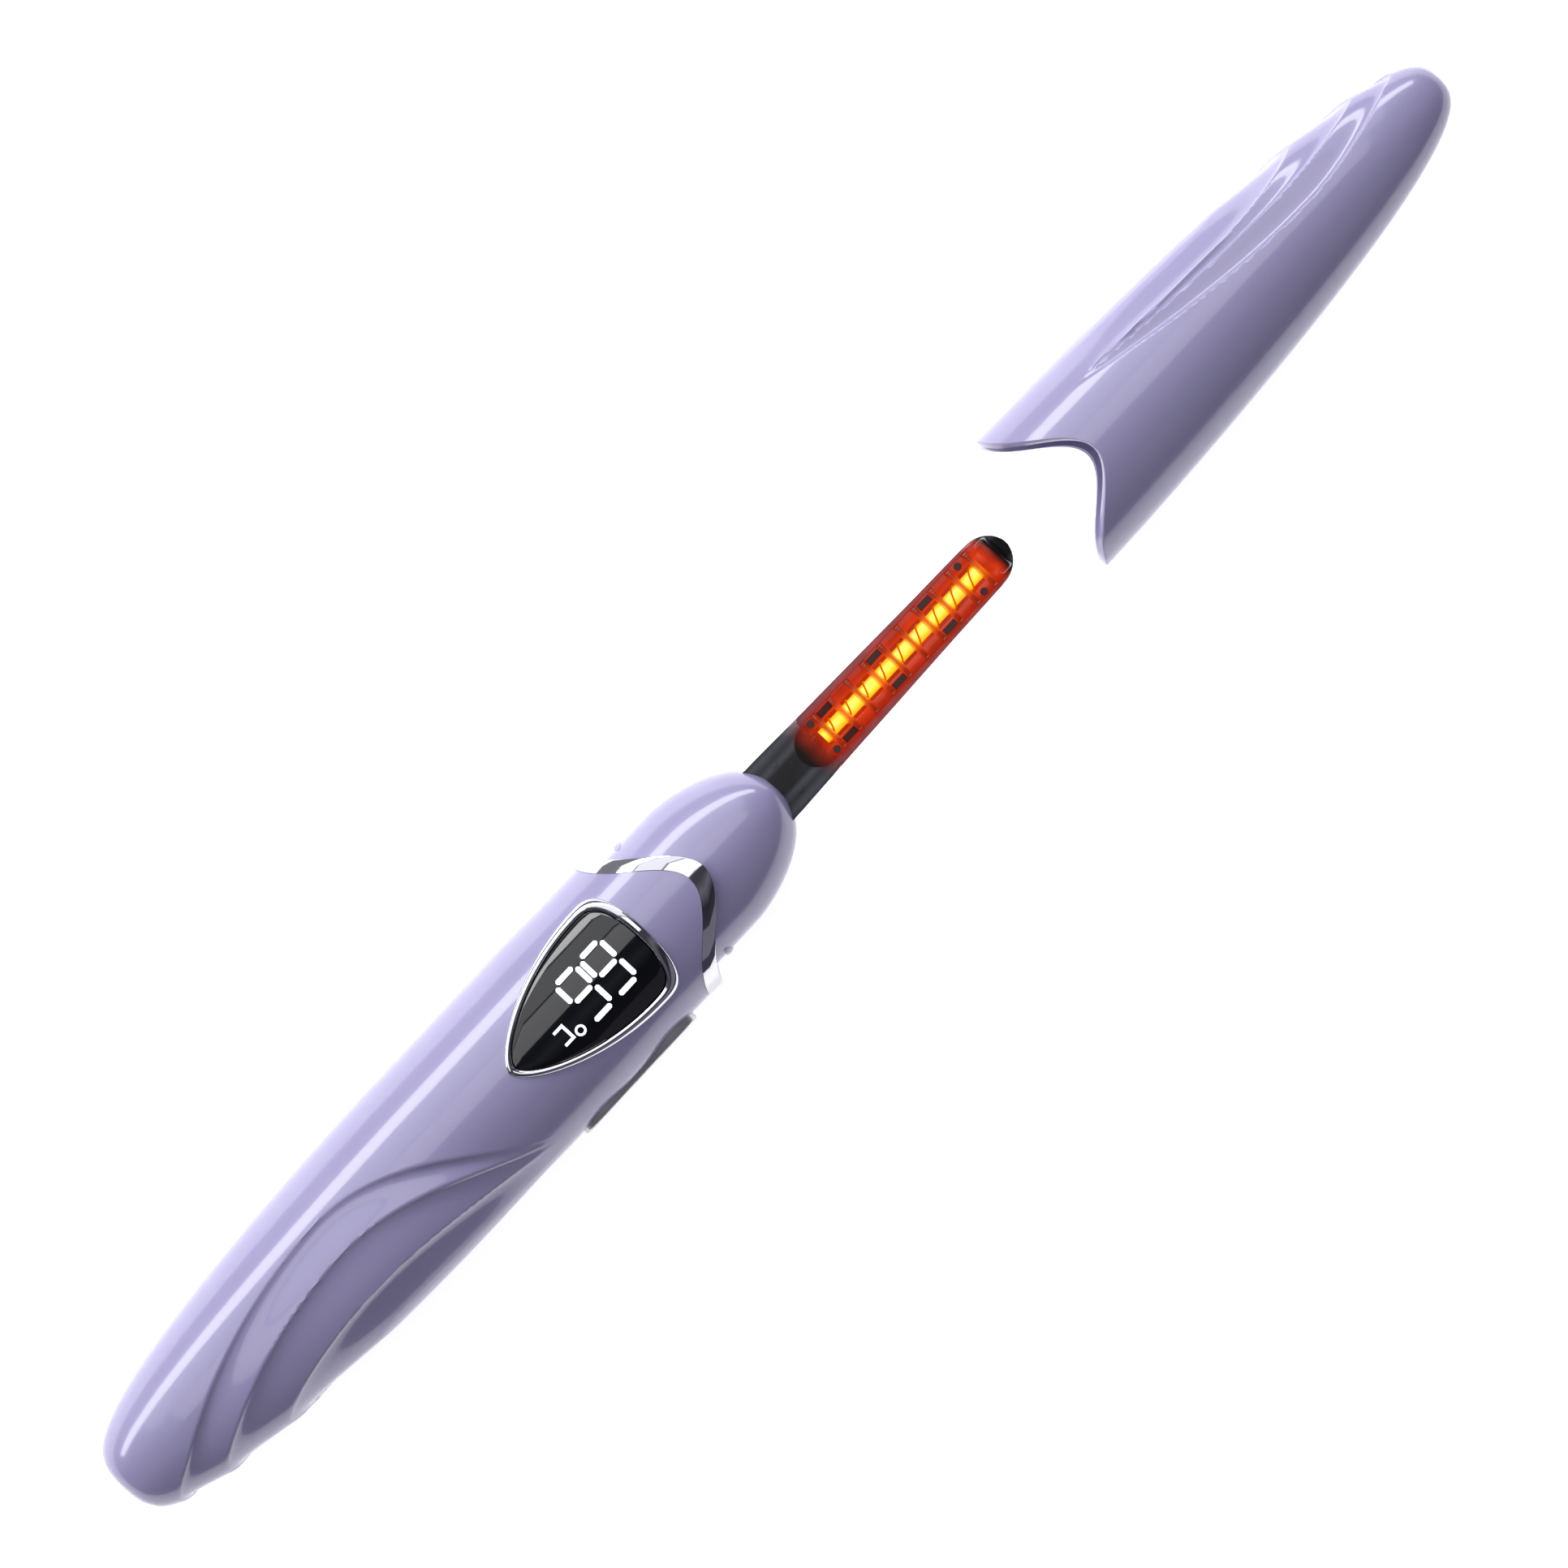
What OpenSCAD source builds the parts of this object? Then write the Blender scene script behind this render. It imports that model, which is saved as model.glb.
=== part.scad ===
// Heated eyelash curler with a push-on cap, lying on its back beside its cap.
// Every module is drawn upright (x right, y back, z up the axis from the tail) and laid down by place().

/* [Body] */
// Overall length with the cap on (mm)
capped_length = 149.5; // [120:0.5:170]
// Widest half width of the body (mm)
half_width = 10.33; // [9:0.01:12]
// Depth of the oval section as a share of its width
depth_ratio = 0.83; // [0.75:0.01:1]
// Shell wall at the sides (mm)
wall_side = 1.65; // [1.2:0.05:2.2]
// Shell wall at front and back (mm)
wall_front = 1.36; // [1.2:0.01:1.8]
// Depth of the narrow flat along the back that stops the curler rolling (mm)
back_flat = 0.09; // [0:0.01:0.2]
// Depth of the petal scoops (mm)
petal_depth = 0.5; // [0:0.01:0.6]

/* [Band] */
// Height of the front and back crests of the chrome band (mm)
band_crest = 93.4; // [90:0.1:96]
// Drop of the wave from crest to side valley (mm)
wave_drop = 8.0; // [0:0.1:10]
// Height of the band (mm)
band_height = 2.1; // [1.5:0.1:3]

/* [Cap] */
// Distance the cap travels from rest to fully on (mm)
cap_travel = 62; // [0:0.5:64]
// Cap wall (mm)
cap_wall = 1.1; // [1:0.05:1.4]

/* [Comb] */
// Height of the comb's tip (mm)
comb_tip = 141.8; // [135:0.1:144]
// Number of rib teeth
rib_count = 10; // [6:1:12]
// Spacing of the ribs along the blade (mm)
rib_pitch = 2.75; // [2:0.05:3.5]

/* [Rocker] */
// Height of the rocker's centre (mm)
rocker_height = 71.8; // [68:0.1:76]
// Half length of the rocker (mm)
rocker_half = 8.8; // [7:0.1:10]

/* [Detail] */
// Facets around the shells
around = 68; // [32:4:96]

/* [Hidden] */
$fn = 48;
gap = 0.03;
clearance = 0.05;
lavender = [0.68, 0.65, 0.82];
chrome = [0.86, 0.87, 0.9];
silver = [0.72, 0.72, 0.74];
gloss_black = [0.03, 0.03, 0.04];
smoke = [0.16, 0.13, 0.14];
board_green = [0.05, 0.25, 0.16];
tail_length = 50;
cap_taper = 66;
neck_rx = 8.45;
neck_ry = 7.0;
band_base = band_crest - band_height;
arc_y = -38.75;
arc_z = 128.3;
arc_back = 43;
arc_front = 40.15;
arc_heater = 41.25;
rod_radius = 0.85;
body_lift = half_width * depth_ratio - back_flat;
rest_length = capped_length + cap_travel;

// ---------- shared shapes ----------

function smooth(t) = let (u = min(max(t, 0), 1)) u * u * (3 - 2 * u);

// Body half width at height v, and its inverse near the tail
function body_r(v) =
    half_width * pow(1 - pow(1 - min(max(v, 0) / tail_length, 1), 1.8), 0.263)
    - 0.2 * smooth((v - 70) / 9);
function tail_z(r) =
    tail_length * (1 - pow(1 - pow(min(r / half_width, 1), 1 / 0.263), 1 / 1.8));
// Cap half width at height v
function cap_r(v) =
    9.98 * pow(1 - pow(1 - min(max(capped_length - v, 0) / cap_taper, 1), 1.6), 0.335);
// Drop of the wavy edge at s = |sine of the angle from the front|
function wave(s) = wave_drop * (0.78 * (1 - cos(180 * s)) / 2 + 0.22 * s * s);
function angle_at(j) = 360 * (j + 0.5) / around;

// A ring of points on an oval, each with its own height
function oval(rx, ry, z) = [for (j = [0:around - 1]) let (a = angle_at(j))
    [rx * sin(a), -ry * cos(a), z]];
function signed_pow(t, e) = sign(t) * pow(abs(t), e);
function squircle(rx, ry, e, z) = [for (j = [0:around - 1]) let (a = angle_at(j))
    [rx * signed_pow(sin(a), 2 / e), -ry * signed_pow(cos(a), 2 / e), z]];
function mix(a, b, t) = a * (1 - t) + b * t;

// Joins rings of points into one closed surface: a tube of rings, capped or looped
module skin(rings, looped = false) {
    n = len(rings);
    last = looped ? n - 1 : n - 2;
    points = [for (r = rings) each r];
    sides = [for (i = [0:last], j = [0:around - 1])
        let (a = i * around, b = ((i + 1) % n) * around, k = (j + 1) % around)
        each [[a + j, b + j, b + k], [a + j, b + k, a + k]]];
    ends = looped ? [] : [[for (j = [0:around - 1]) j],
        [for (j = [0:around - 1]) n * around - 1 - j]];
    polyhedron(points = points, faces = concat(sides, ends), convexity = 10);
}

module place() {
    translate([0, -rest_length / 2, body_lift])
        rotate([-90, 0, 0])
            children();
}

// Everything on the cap is drawn closed, then moved off the head
module uncapped() {
    translate([0, 0, cap_travel])
        children();
}

// An oval slab between two depths, for pieces that follow the front face
module oval_slab(inner, outer, low, high) {
    ratio = 1 / depth_ratio;
    difference() {
        translate([0, 0, low])
            scale([1, depth_ratio, 1]) cylinder(r = outer * ratio, h = high - low);
        translate([0, 0, low - 1])
            scale([1, depth_ratio, 1]) cylinder(r = inner * ratio, h = high - low + 2);
    }
}

// Extrudes a front-view outline (x across, y up) through the front of the body
module through_front(near, far) {
    translate([0, -near, 0])
        rotate([90, 0, 0])
            linear_extrude(height = far - near)
                children();
}

// Extrudes a side-view outline (x front to back, y up) towards +X
module from_side(x0, x1) {
    translate([x0, 0, 0])
        rotate([90, 0, 90])
            linear_extrude(height = x1 - x0)
                children();
}

// Turns a section (x = radius, y = across) about the comb's arc centre
module along_arc(from, to) {
    translate([0, arc_y, arc_z])
        rotate([90, 0, 90])
            rotate_extrude(angle = to - from, start = from, $fn = 180)
                children();
}

function arc_point(r, a) = [0, arc_y + r * cos(a), arc_z + r * sin(a)];
function arc_angle(z) = asin((z - arc_z) / 41.5);

// A round wire through a list of points
module wire(points, r) {
    for (i = [0:len(points) - 2]) {
        step = points[i + 1] - points[i];
        length = norm(step);
        translate(points[i])
            rotate([0, acos(step[2] / length), atan2(step[1], step[0])])
                cylinder(r = r, h = length, $fn = 10);
        if (i > 0)
            translate(points[i]) sphere(r = r, $fn = 10);
    }
}

// ---------- petals ----------

// One nested petal: [height of its widest line, tip height, half angle there, height where all meet]
handle_petals = [[35.8, 18, 42], [35.8, 9.5, 75], [35.8, 3.4, 101]];
cap_petals = [[118, 132.5, 38], [124, 141, 47], [129, 146, 67]];
petal_centre = 75.4;
petal_steps = 24;

// Point (angle, height) at share t of a petal's outline: one long edge, the round tip, the other long edge
function petal_edge(p, meet, rest_angle, t) =
    t < 0.3 ? let (u = t / 0.3)
        [petal_centre - mix(rest_angle, p[2], sin(90 * u)), mix(meet, p[0], u)]
    : t > 0.7 ? let (u = (1 - t) / 0.3)
        [petal_centre + mix(rest_angle, p[2], sin(90 * u)), mix(meet, p[0], u)]
    : let (b = 180 * (t - 0.3) / 0.4)
        [petal_centre - p[2] * cos(b), mix(p[0], p[1], sin(b))];

function petal_inner(set, k, meet, rest_angle, t) =
    k > 0 ? petal_edge(set[k - 1], meet, rest_angle, t)
    : [petal_centre, petal_edge(set[0], meet, rest_angle, t)[1] * 0.6 + set[0][0] * 0.4];

// Point on the body at an angle and height, sunk by depth
function cap_point(q, depth) = let (r = cap_r(q[1]))
    [-(r - depth) * sin(q[0]), -(r * depth_ratio - depth) * cos(q[0]), q[1]];
function handle_point(q, depth) = let (r = body_r(q[1]))
    [(r - depth) * sin(q[0]), -(r * depth_ratio - depth) * cos(q[0]), q[1]];

// Cuts the fold between petal k's edge and the next one in: steep just inside the edge, then a long rise
module petal_scoop(set, k, meet, rest_angle, on_cap) {
    bands = 3;
    for (i = [2:petal_steps - 3], m = [0:bands - 1]) {
        corners = [for (s = [m, m + 1], t = [i, i + 1])
            let (share = t / petal_steps, across = s / bands,
                q = mix(petal_edge(set[k], meet, rest_angle, share),
                    petal_inner(set, k, meet, rest_angle, share), across),
                fade = smooth(min(share, 1 - share) / 0.2),
                depth = petal_depth * fade * sin(180 * pow(across, 0.62)) - 0.05)
            for (d = [depth, -0.9])
                on_cap ? cap_point(q, d) : handle_point(q, d)];
        hull()
            polyhedron(points = corners, faces = [[0, 1, 3, 2], [4, 6, 7, 5], [0, 4, 5, 1],
                [2, 3, 7, 6], [0, 2, 6, 4], [1, 5, 7, 3]]);
    }
}

// ---------- outlines ----------

// Shield outline, widest near the top, pointing to the tail
module shield(half, top, bottom) {
    height = top - bottom;
    waist = top - 0.19 * height;
    upper = [for (i = [0:12]) let (r = sin(90 - 7.5 * i))
        [half * pow(1 - pow(r, 3.2), 0.42), waist + r * 0.19 * height]];
    lower = [for (i = [1:18]) let (q = sin(5 * i))
        [half * pow(cos(90 * q), 0.62), waist - q * 0.81 * height]];
    right = concat(upper, lower);
    polygon(concat(right, [for (i = [len(right) - 2:-1:1]) [-right[i][0], right[i][1]]]));
}

// Figure-eight rocker outline (x front to back, y along the body)
module figure_eight(grow = 0) {
    steps = 34;
    side = [for (i = [0:steps]) let (e = 2 * i / steps - 1, u = abs(e),
        lobe = 0.7 + 1.27 * (1 - cos(180 * min(u / 0.6, 1))) / 2,
        tip = u > 0.6 ? sqrt(max(0, 1 - pow((u - 0.6) / 0.4, 2))) : 1)
        [lobe * tip + grow * (u < 0.999 ? 1 : 0.4),
            rocker_height + e * (rocker_half + grow)]];
    polygon(concat(side, [for (i = [steps:-1:0]) [-side[i][0], side[i][1]]]));
}

// Rounded rectangle centred on the origin
module rounded(w, h, r) {
    square([w - 2 * r, h], center = true);
    square([w, h - 2 * r], center = true);
    for (x = [-1, 1], y = [-1, 1])
        translate([x * (w / 2 - r), y * (h / 2 - r)]) circle(r = r);
}

// Front view of the comb's blade
module blade_outline(inset = 0) {
    widths = [[96, 3.8], [104.8, 3.8], [113, 3.55], [120, 3.4], [130, 3.15], [138.4, 3.0]];
    tip = [for (a = [10:10:90]) [(3.0 - inset) * cos(a), 138.4 + (comb_tip - inset - 138.4) * sin(a)]];
    right = concat([for (w = widths) [w[1] - inset, w[0]]], tip);
    polygon(concat(right, [for (i = [len(right) - 2:-1:0]) [-right[i][0], right[i][1]]]));
}

// ---------- outer shells ----------

function rim_share(v) = pow(max(0, v - 50) / (band_base - 50), 2);
function shell_ring(v, inset_x, inset_y) = [for (j = [0:around - 1])
    let (a = angle_at(j), z = v - 2 * gap - wave(abs(sin(a))) * rim_share(v), r = body_r(z))
    [(r - inset_x) * sin(a), min(-(r * depth_ratio - inset_y) * cos(a), body_lift), z]];
function slot_ring(t) = let (hole = squircle(4.62, 1.78, 4, 0),
    edge = oval(body_r(3), body_r(3) * depth_ratio, 0))
    [for (j = [0:around - 1]) let (p = mix(hole[j], edge[j], t))
        [p[0], p[1], tail_z(norm([p[0], p[1] / depth_ratio]))]];

module handle_shell() {
    outer = [4.5, 6.8, 9.3, 12, 15.5, 19.5, 24.5, 30, 36.5, 43, 50, 57, 63, 68, 73, 78, 82, 86, 89, band_base];
    inner = [band_base, 84, 76, 66, 50, 38, 28, 20, 14, 9, 6];
    rings = concat([for (t = [0, 0.33, 0.67, 1]) slot_ring(t)],
        [for (v = outer) shell_ring(v, 0, 0)],
        [for (v = inner) shell_ring(v, wall_side, wall_front)],
        [squircle(4.62, 1.78, 4, 3.4)]);
    color(lavender)
        place()
            difference() {
                skin(rings, looped = true);
                for (k = [0:2])
                    petal_scoop(handle_petals, k, 62, 13, false);
                through_front(2, 12) shield(7.15 + gap, 84 + gap, 62.4 - gap);
                from_side(6, 12) figure_eight(0.3);
            }
}

module cap_shell() {
    seat = band_crest + gap;
    outer = [seat, 96.5, 100, 104, 108, 113, 118, 123, 128, 132, 136, 139.5, 142.5, 145, 147, 148.5,
        149.3, 149.48];
    inner = [147, 145.6, 143.6, 140.5, 136, 130, 122, 112, 103, 97.5, seat];
    function ring(v, inset) = [for (j = [0:around - 1])
        let (a = angle_at(j), share = pow(max(0, 1 - (v - seat) / 40), 2),
            z = v - wave(abs(sin(a))) * share, r = cap_r(z + inset * 0.8))
        [(r - inset) * sin(a), -(r * depth_ratio - inset) * cos(a), z]];
    color(lavender)
        place() uncapped()
            difference() {
                skin(concat([for (v = inner) ring(v, cap_wall)], [for (v = outer) ring(v, 0)]));
                for (k = [0:2])
                    petal_scoop(cap_petals, k, 95, 34, true);
            }
}

module trim_band() {
    function ring(rx, ry, top) = [for (j = [0:around - 1]) let (a = angle_at(j))
        [rx * sin(a), min(-ry * cos(a), body_lift), top - wave(abs(sin(a)))]];
    r = body_r(band_crest - 4) + 0.1;
    color(chrome)
        place()
            skin([ring(r, r * depth_ratio, band_base),
                ring(r + 0.05, (r + 0.05) * depth_ratio, band_crest - 0.35),
                ring(r - 0.3, (r - 0.3) * depth_ratio, band_crest),
                ring(neck_rx + gap, neck_ry + gap, band_crest),
                ring(neck_rx + gap, neck_ry + gap, band_base)], looped = true);
}

// Neck and dome above the band, with a short collar inside the handle
module head_housing() {
    dome_base = 93;
    dome_top = 104.8;
    function dome(v, share, inset) =
        let (h = min(max((v - dome_base) / (dome_top - dome_base + 0.02), 0), 1),
        wide = (neck_rx - inset) * pow(1 - pow(h, 1.6), 0.4),
        deep = (neck_ry - inset) * pow(1 - pow(h, 1.6), 0.26))
        [for (j = [0:around - 1]) let (a = angle_at(j))
            [wide * sin(a), -deep * cos(a), v - share * wave(abs(sin(a)))]];
    hole = [3.93, 2.7];
    rings = [dome(band_base - 1.2, 1, 0), dome(91.5, 0.93, 0), dome(92.6, 0.55, 0), dome(93.4, 0.3, 0),
        dome(94.6, 0.1, 0), dome(96, 0, 0), dome(97.5, 0, 0), dome(99, 0, 0), dome(100.5, 0, 0),
        dome(101.8, 0, 0), dome(102.9, 0, 0), dome(103.8, 0, 0),
        squircle(hole[0] + 0.5, hole[1] + 0.45, 4, 104.5), squircle(hole[0], hole[1], 6, 104.6),
        squircle(hole[0], hole[1], 6, 102.2), dome(100.6, 0, 1.3), dome(98.5, 0, 1.3), dome(96, 0, 1.3),
        dome(94, 0.2, 1.3), dome(92.6, 0.55, 1.3), dome(band_base - 1.2, 1, 1.3)];
    color(lavender)
        place()
            difference() {
                union() {
                    skin(rings, looped = true);
                    intersection() {
                        skin([for (z = [86, 91]) oval(neck_rx + 0.28, neck_ry + 0.25, z)]);
                        for (side = [0, 1])
                            mirror([side, 0, 0])
                                from_side(7, 10)
                                    translate([0, 88.2])
                                        intersection() {
                                            translate([0, 4.9]) circle(r = 5.5);
                                            translate([0, -4.9]) circle(r = 5.5);
                                        }
                    }
                    for (x = [-2.8, 2.8])
                        translate([x, 4.65, 92]) rotate([-90, 0, 0]) cylinder(r = 1.4, h = 1.4);
                }
                for (x = [-2.8, 2.8])
                    translate([x, 4, 92]) rotate([-90, 0, 0]) cylinder(r = 0.57, h = 1.75);
            }
}

// ---------- display ----------

front = half_width * depth_ratio;

module display_bezel() {
    color(chrome)
        place()
            intersection() {
                oval_slab(front - 1.2, front + 0.32, 60, 86);
                through_front(2, 12)
                    difference() {
                        shield(7.15, 84, 62.4);
                        shield(6.15, 82.9, 63.4);
                    }
            }
}

// One seven-segment figure lying across the pen: it reads towards the tail
module figure_six(top) {
    long = 2.55;
    thick = 0.62;
    tall = 6.5;
    width = 3.76;
    module segment(x, z, across) {
        l = across ? thick : long;
        w = across ? long : thick;
        translate([x, z])
            polygon([[-w / 2 + 0.2, -l / 2], [w / 2 - 0.2, -l / 2], [w / 2, -l / 2 + 0.2],
                [w / 2, l / 2 - 0.2], [w / 2 - 0.2, l / 2], [-w / 2 + 0.2, l / 2],
                [-w / 2, l / 2 - 0.2], [-w / 2, -l / 2 + 0.2]]);
    }
    middle = top - width / 2;
    for (x = [-1, 0, 1])
        segment(x * (tall - thick) / 2, middle, false);
    for (x = [-1, 1])
        segment(x * (tall - thick) / 4, top - thick / 2, true);
    segment(-(tall - thick) / 4, top - width + thick / 2, true);
}

module lit_marks() {
    figure_six(80.06);
    figure_six(76.17);
    translate([2.43, 71.2])
        difference() {
            circle(r = 0.64);
            circle(r = 0.37);
        }
    translate([1.5, 69.58])
        difference() {
            square([2.15, 1.45], center = true);
            translate([0, -0.35]) square([1.47, 1.45], center = true);
        }
}

module display_lens() {
    color(gloss_black)
        place()
            difference() {
                intersection() {
                    oval_slab(front - 1.0, front + 0.12, 60, 86);
                    through_front(2, 12) shield(6.15 - gap, 82.9 - gap, 63.4 + gap);
                }
                through_front(6, 12) lit_marks();
            }
}

module display_digits() {
    color([0.93, 0.97, 1])
        place() {
            intersection() {
                oval_slab(front - 1.4, front + 0.1, 60, 86);
                through_front(2, 12) lit_marks();
            }
            intersection() {
                oval_slab(front - 1.5, front - 1.03, 60, 86);
                through_front(2, 12) shield(5.4, 82, 66);
            }
        }
}

module display_board() {
    color(board_green)
        place() {
            translate([-4.6, -4.9, 66]) cube([9.2, 0.8, 15.5]);
            for (z = [68, 71.5, 74.5, 78.5], x = [-2, 2])
                translate([x - 0.8, -5.5, z - 0.5]) cube([1.6, 0.62, 1]);
        }
}

// ---------- rocker and switches ----------

rocker_axis_x = 7.0;

module rocker_button() {
    color(silver)
        place()
            difference() {
                union() {
                    intersection() {
                        from_side(7.9, 12) figure_eight();
                        union() {
                            translate([-50.2, 0, 60]) cylinder(r = 61.2, h = 25, $fn = 200);
                            translate([0, 0, 60]) cylinder(r = 9.4, h = 25);
                        }
                    }
                    translate([7.2, -1.2, rocker_height - 7.4]) cube([0.75, 2.4, 14.8]);
                    for (z = [-7.4, 2.2])
                        translate([7.2, -1.75, rocker_height + z]) cube([0.75, 3.5, 5.2]);
                    translate([rocker_axis_x, 1.2, rocker_height])
                        rotate([90, 0, 0]) cylinder(r = 1.05, h = 2.4);
                }
                translate([rocker_axis_x, 3, rocker_height])
                    rotate([90, 0, 0]) cylinder(r = 0.5 + clearance, h = 6);
                translate([0, 0, rocker_height]) {
                    for (z = [-5.3, 5.3])
                        translate([10.75, -1.1, z - 0.18]) cube([1, 2.2, 0.36]);
                    translate([10.75, -0.18, 4.2]) cube([1, 0.36, 2.2]);
                }
            }
}

module rocker_pin() {
    color(silver)
        place()
            translate([rocker_axis_x, 2.7, rocker_height])
                rotate([90, 0, 0]) cylinder(r = 0.5, h = 5.4);
}

switch_offset = 6;

module switch_bodies() {
    color([0.1, 0.1, 0.11])
        place()
            for (z = [-switch_offset, switch_offset])
                difference() {
                    translate([3.4, -1.5, rocker_height + z - 1.8]) cube([3.0, 3.07, 3.6]);
                    translate([5.2, 0, rocker_height + z]) rotate([0, 90, 0]) cylinder(r = 0.8, h = 3);
                }
}

module plunger(z) {
    color([0.9, 0.88, 0.8])
        place()
            translate([5.5, 0, rocker_height + z])
                rotate([0, 90, 0]) cylinder(r = 0.75, h = 1.35);
}

module switch_plunger_upper() {
    plunger(switch_offset);
}

module switch_plunger_lower() {
    plunger(-switch_offset);
}

// ---------- comb ----------

blade_low = 111.4;
arc_from = asin((blade_low - arc_z) / arc_front);
arc_to = asin((comb_tip - arc_z) / arc_front);
first_rib = 112.9;
function rib_angle(i) = arc_angle(first_rib) + i * rib_pitch / arc_front * 57.2958;

module comb_back() {
    stem = [[-2.5, 97], [2.55, 97], [2.57, 116.6], [2.2, 116.6], [1.0, 113],
        [0.35, blade_low], [-2.35, blade_low]];
    color(smoke)
        place()
            difference() {
                union() {
                    intersection() {
                        from_side(-6, 6) polygon(stem);
                        translate([0, 0.025, 96]) linear_extrude(height = 30) rounded(7.6, 5.1, 1);
                        through_front(-8, 8) blade_outline();
                    }
                    translate([0, 0, 97]) linear_extrude(height = 1.5) rounded(8.6, 5.8, 1);
                    intersection() {
                        along_arc(arc_from, arc_to + 1)
                            difference() {
                                translate([arc_front, -4]) square([arc_back - arc_front, 8]);
                                translate([arc_front - 1, -2.65]) square([42.3 - arc_front + 1, 5.3]);
                            }
                        through_front(-8, 8) blade_outline();
                    }
                    intersection() {
                        along_arc(arc_to - 2.4, arc_to + 1)
                            translate([arc_front, -4]) square([arc_back - arc_front, 8]);
                        through_front(-8, 8) blade_outline();
                    }
                }
                translate([-1.2, -1, 96]) cube([2.4, 2, 17]);
            }
}

module comb_face() {
    half = 2.6;
    low = arc_from + 0.3;
    high = arc_to - 2.5;
    color(smoke)
        place() {
            difference() {
                along_arc(low, high) translate([arc_front, -half]) square([0.55, 2 * half]);
                along_arc(rib_angle(0) - 1.4, rib_angle(rib_count - 1) + 0.2)
                    translate([arc_front - 1, -1.3]) square([3, 2.6]);
                for (q = pin_spots)
                    translate([q[0], q[1], q[2]]) rotate([-90, 0, 0]) cylinder(r = 0.5, h = 4);
            }
            for (i = [0:rib_count - 1])
                let (a = rib_angle(i))
                    translate(arc_point(arc_front, a) - [half, 0, 0])
                        rotate([90, 0, 90])
                            linear_extrude(height = 2 * half)
                                polygon([[-1.5, -0.12], [0.03, -0.42], [0.18, -0.42],
                                    [0.18, 0.42], [0.03, 0.42], [-1.5, 0.12]]);
            intersection() {
                translate([-2.25, arc_y + 38.1, comb_tip - 3.3]) cube([4.5, 4, 1.65]);
                along_arc(arc_to - 5, arc_to - 1.6) translate([38.3, -2.25]) square([1.95, 4.5]);
            }
        }
}

pin_spots = [for (a = [rib_angle(0) - 1.5, rib_angle(8) + 1.9], x = [-1, 1])
    let (p = arc_point(arc_front - 0.3, a)) [2.0 * x, p[1], p[2]]];

module comb_pins() {
    color(gloss_black)
        place() {
            for (q = pin_spots)
                translate(q) rotate([-90, 0, 0]) cylinder(r = 0.45, h = 2.2);
        }
}

module heater_core() {
    color([0.95, 0.75, 0.35])
        place()
            along_arc(rib_angle(0) - 1.3, rib_angle(rib_count - 1) + 0.1)
                translate([arc_heater, 0]) circle(r = rod_radius, $fn = 32);
}

// Helix around the heater rod, following its arc
module heater_coil() {
    turns = 9;
    per_turn = 14;
    sides = 6;
    wire_r = 0.11;
    coil_r = rod_radius + wire_r + 0.03;
    a0 = rib_angle(0) - 1;
    a1 = rib_angle(rib_count - 1) - 0.2;
    n = turns * per_turn;
    function spine(i) =
        let (a = mix(a0, a1, i / n), w = 360 * i / per_turn, r = arc_heater + coil_r * cos(w))
        [coil_r * sin(w), arc_y + r * cos(a), arc_z + r * sin(a)];
    function section(i) =
        let (p = spine(i), d = spine(i + 0.01) - spine(i - 0.01), t = d / norm(d),
        out = p - arc_point(arc_heater, mix(a0, a1, i / n)), u = out / norm(out),
        b = cross(t, u), e = b / norm(b), f = cross(e, t))
        [for (k = [0:sides - 1]) p + wire_r * (cos(360 * k / sides) * f + sin(360 * k / sides) * e)];
    points = [for (i = [0:n]) each section(i)];
    faces = concat([[for (k = [0:sides - 1]) k]], [[for (k = [0:sides - 1]) n * sides + sides - 1 - k]],
        [for (i = [0:n - 1], k = [0:sides - 1]) let (m = (k + 1) % sides, p = i * sides)
            each [[p + k, p + sides + k, p + sides + m], [p + k, p + sides + m, p + m]]]);
    color([1, 0.45, 0.15])
        place()
            polyhedron(points = points, faces = faces, convexity = 10);
}

module heater_clips() {
    color(gloss_black)
        place()
            for (i = [0, 3, 6])
                let (a = rib_angle(i), b = rib_angle(i + 1)) {
                    for (side = [-2.35, 1.55])
                        along_arc(a + 0.65, b - 0.65)
                            translate([arc_front - 0.4, side]) square([0.37, 0.8]);
                }
}

module thermistor() {
    a = rib_angle(5);
    color([0.75, 0.45, 0.2])
        place() {
            translate(arc_point(41.3, a) + [1.75, 0, 0]) sphere(r = 0.5);
            along_arc(arc_from + 0.6, a) translate([41.3, 1.36]) circle(r = 0.13, $fn = 16);
        }
}

// ---------- inside the handle ----------

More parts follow.
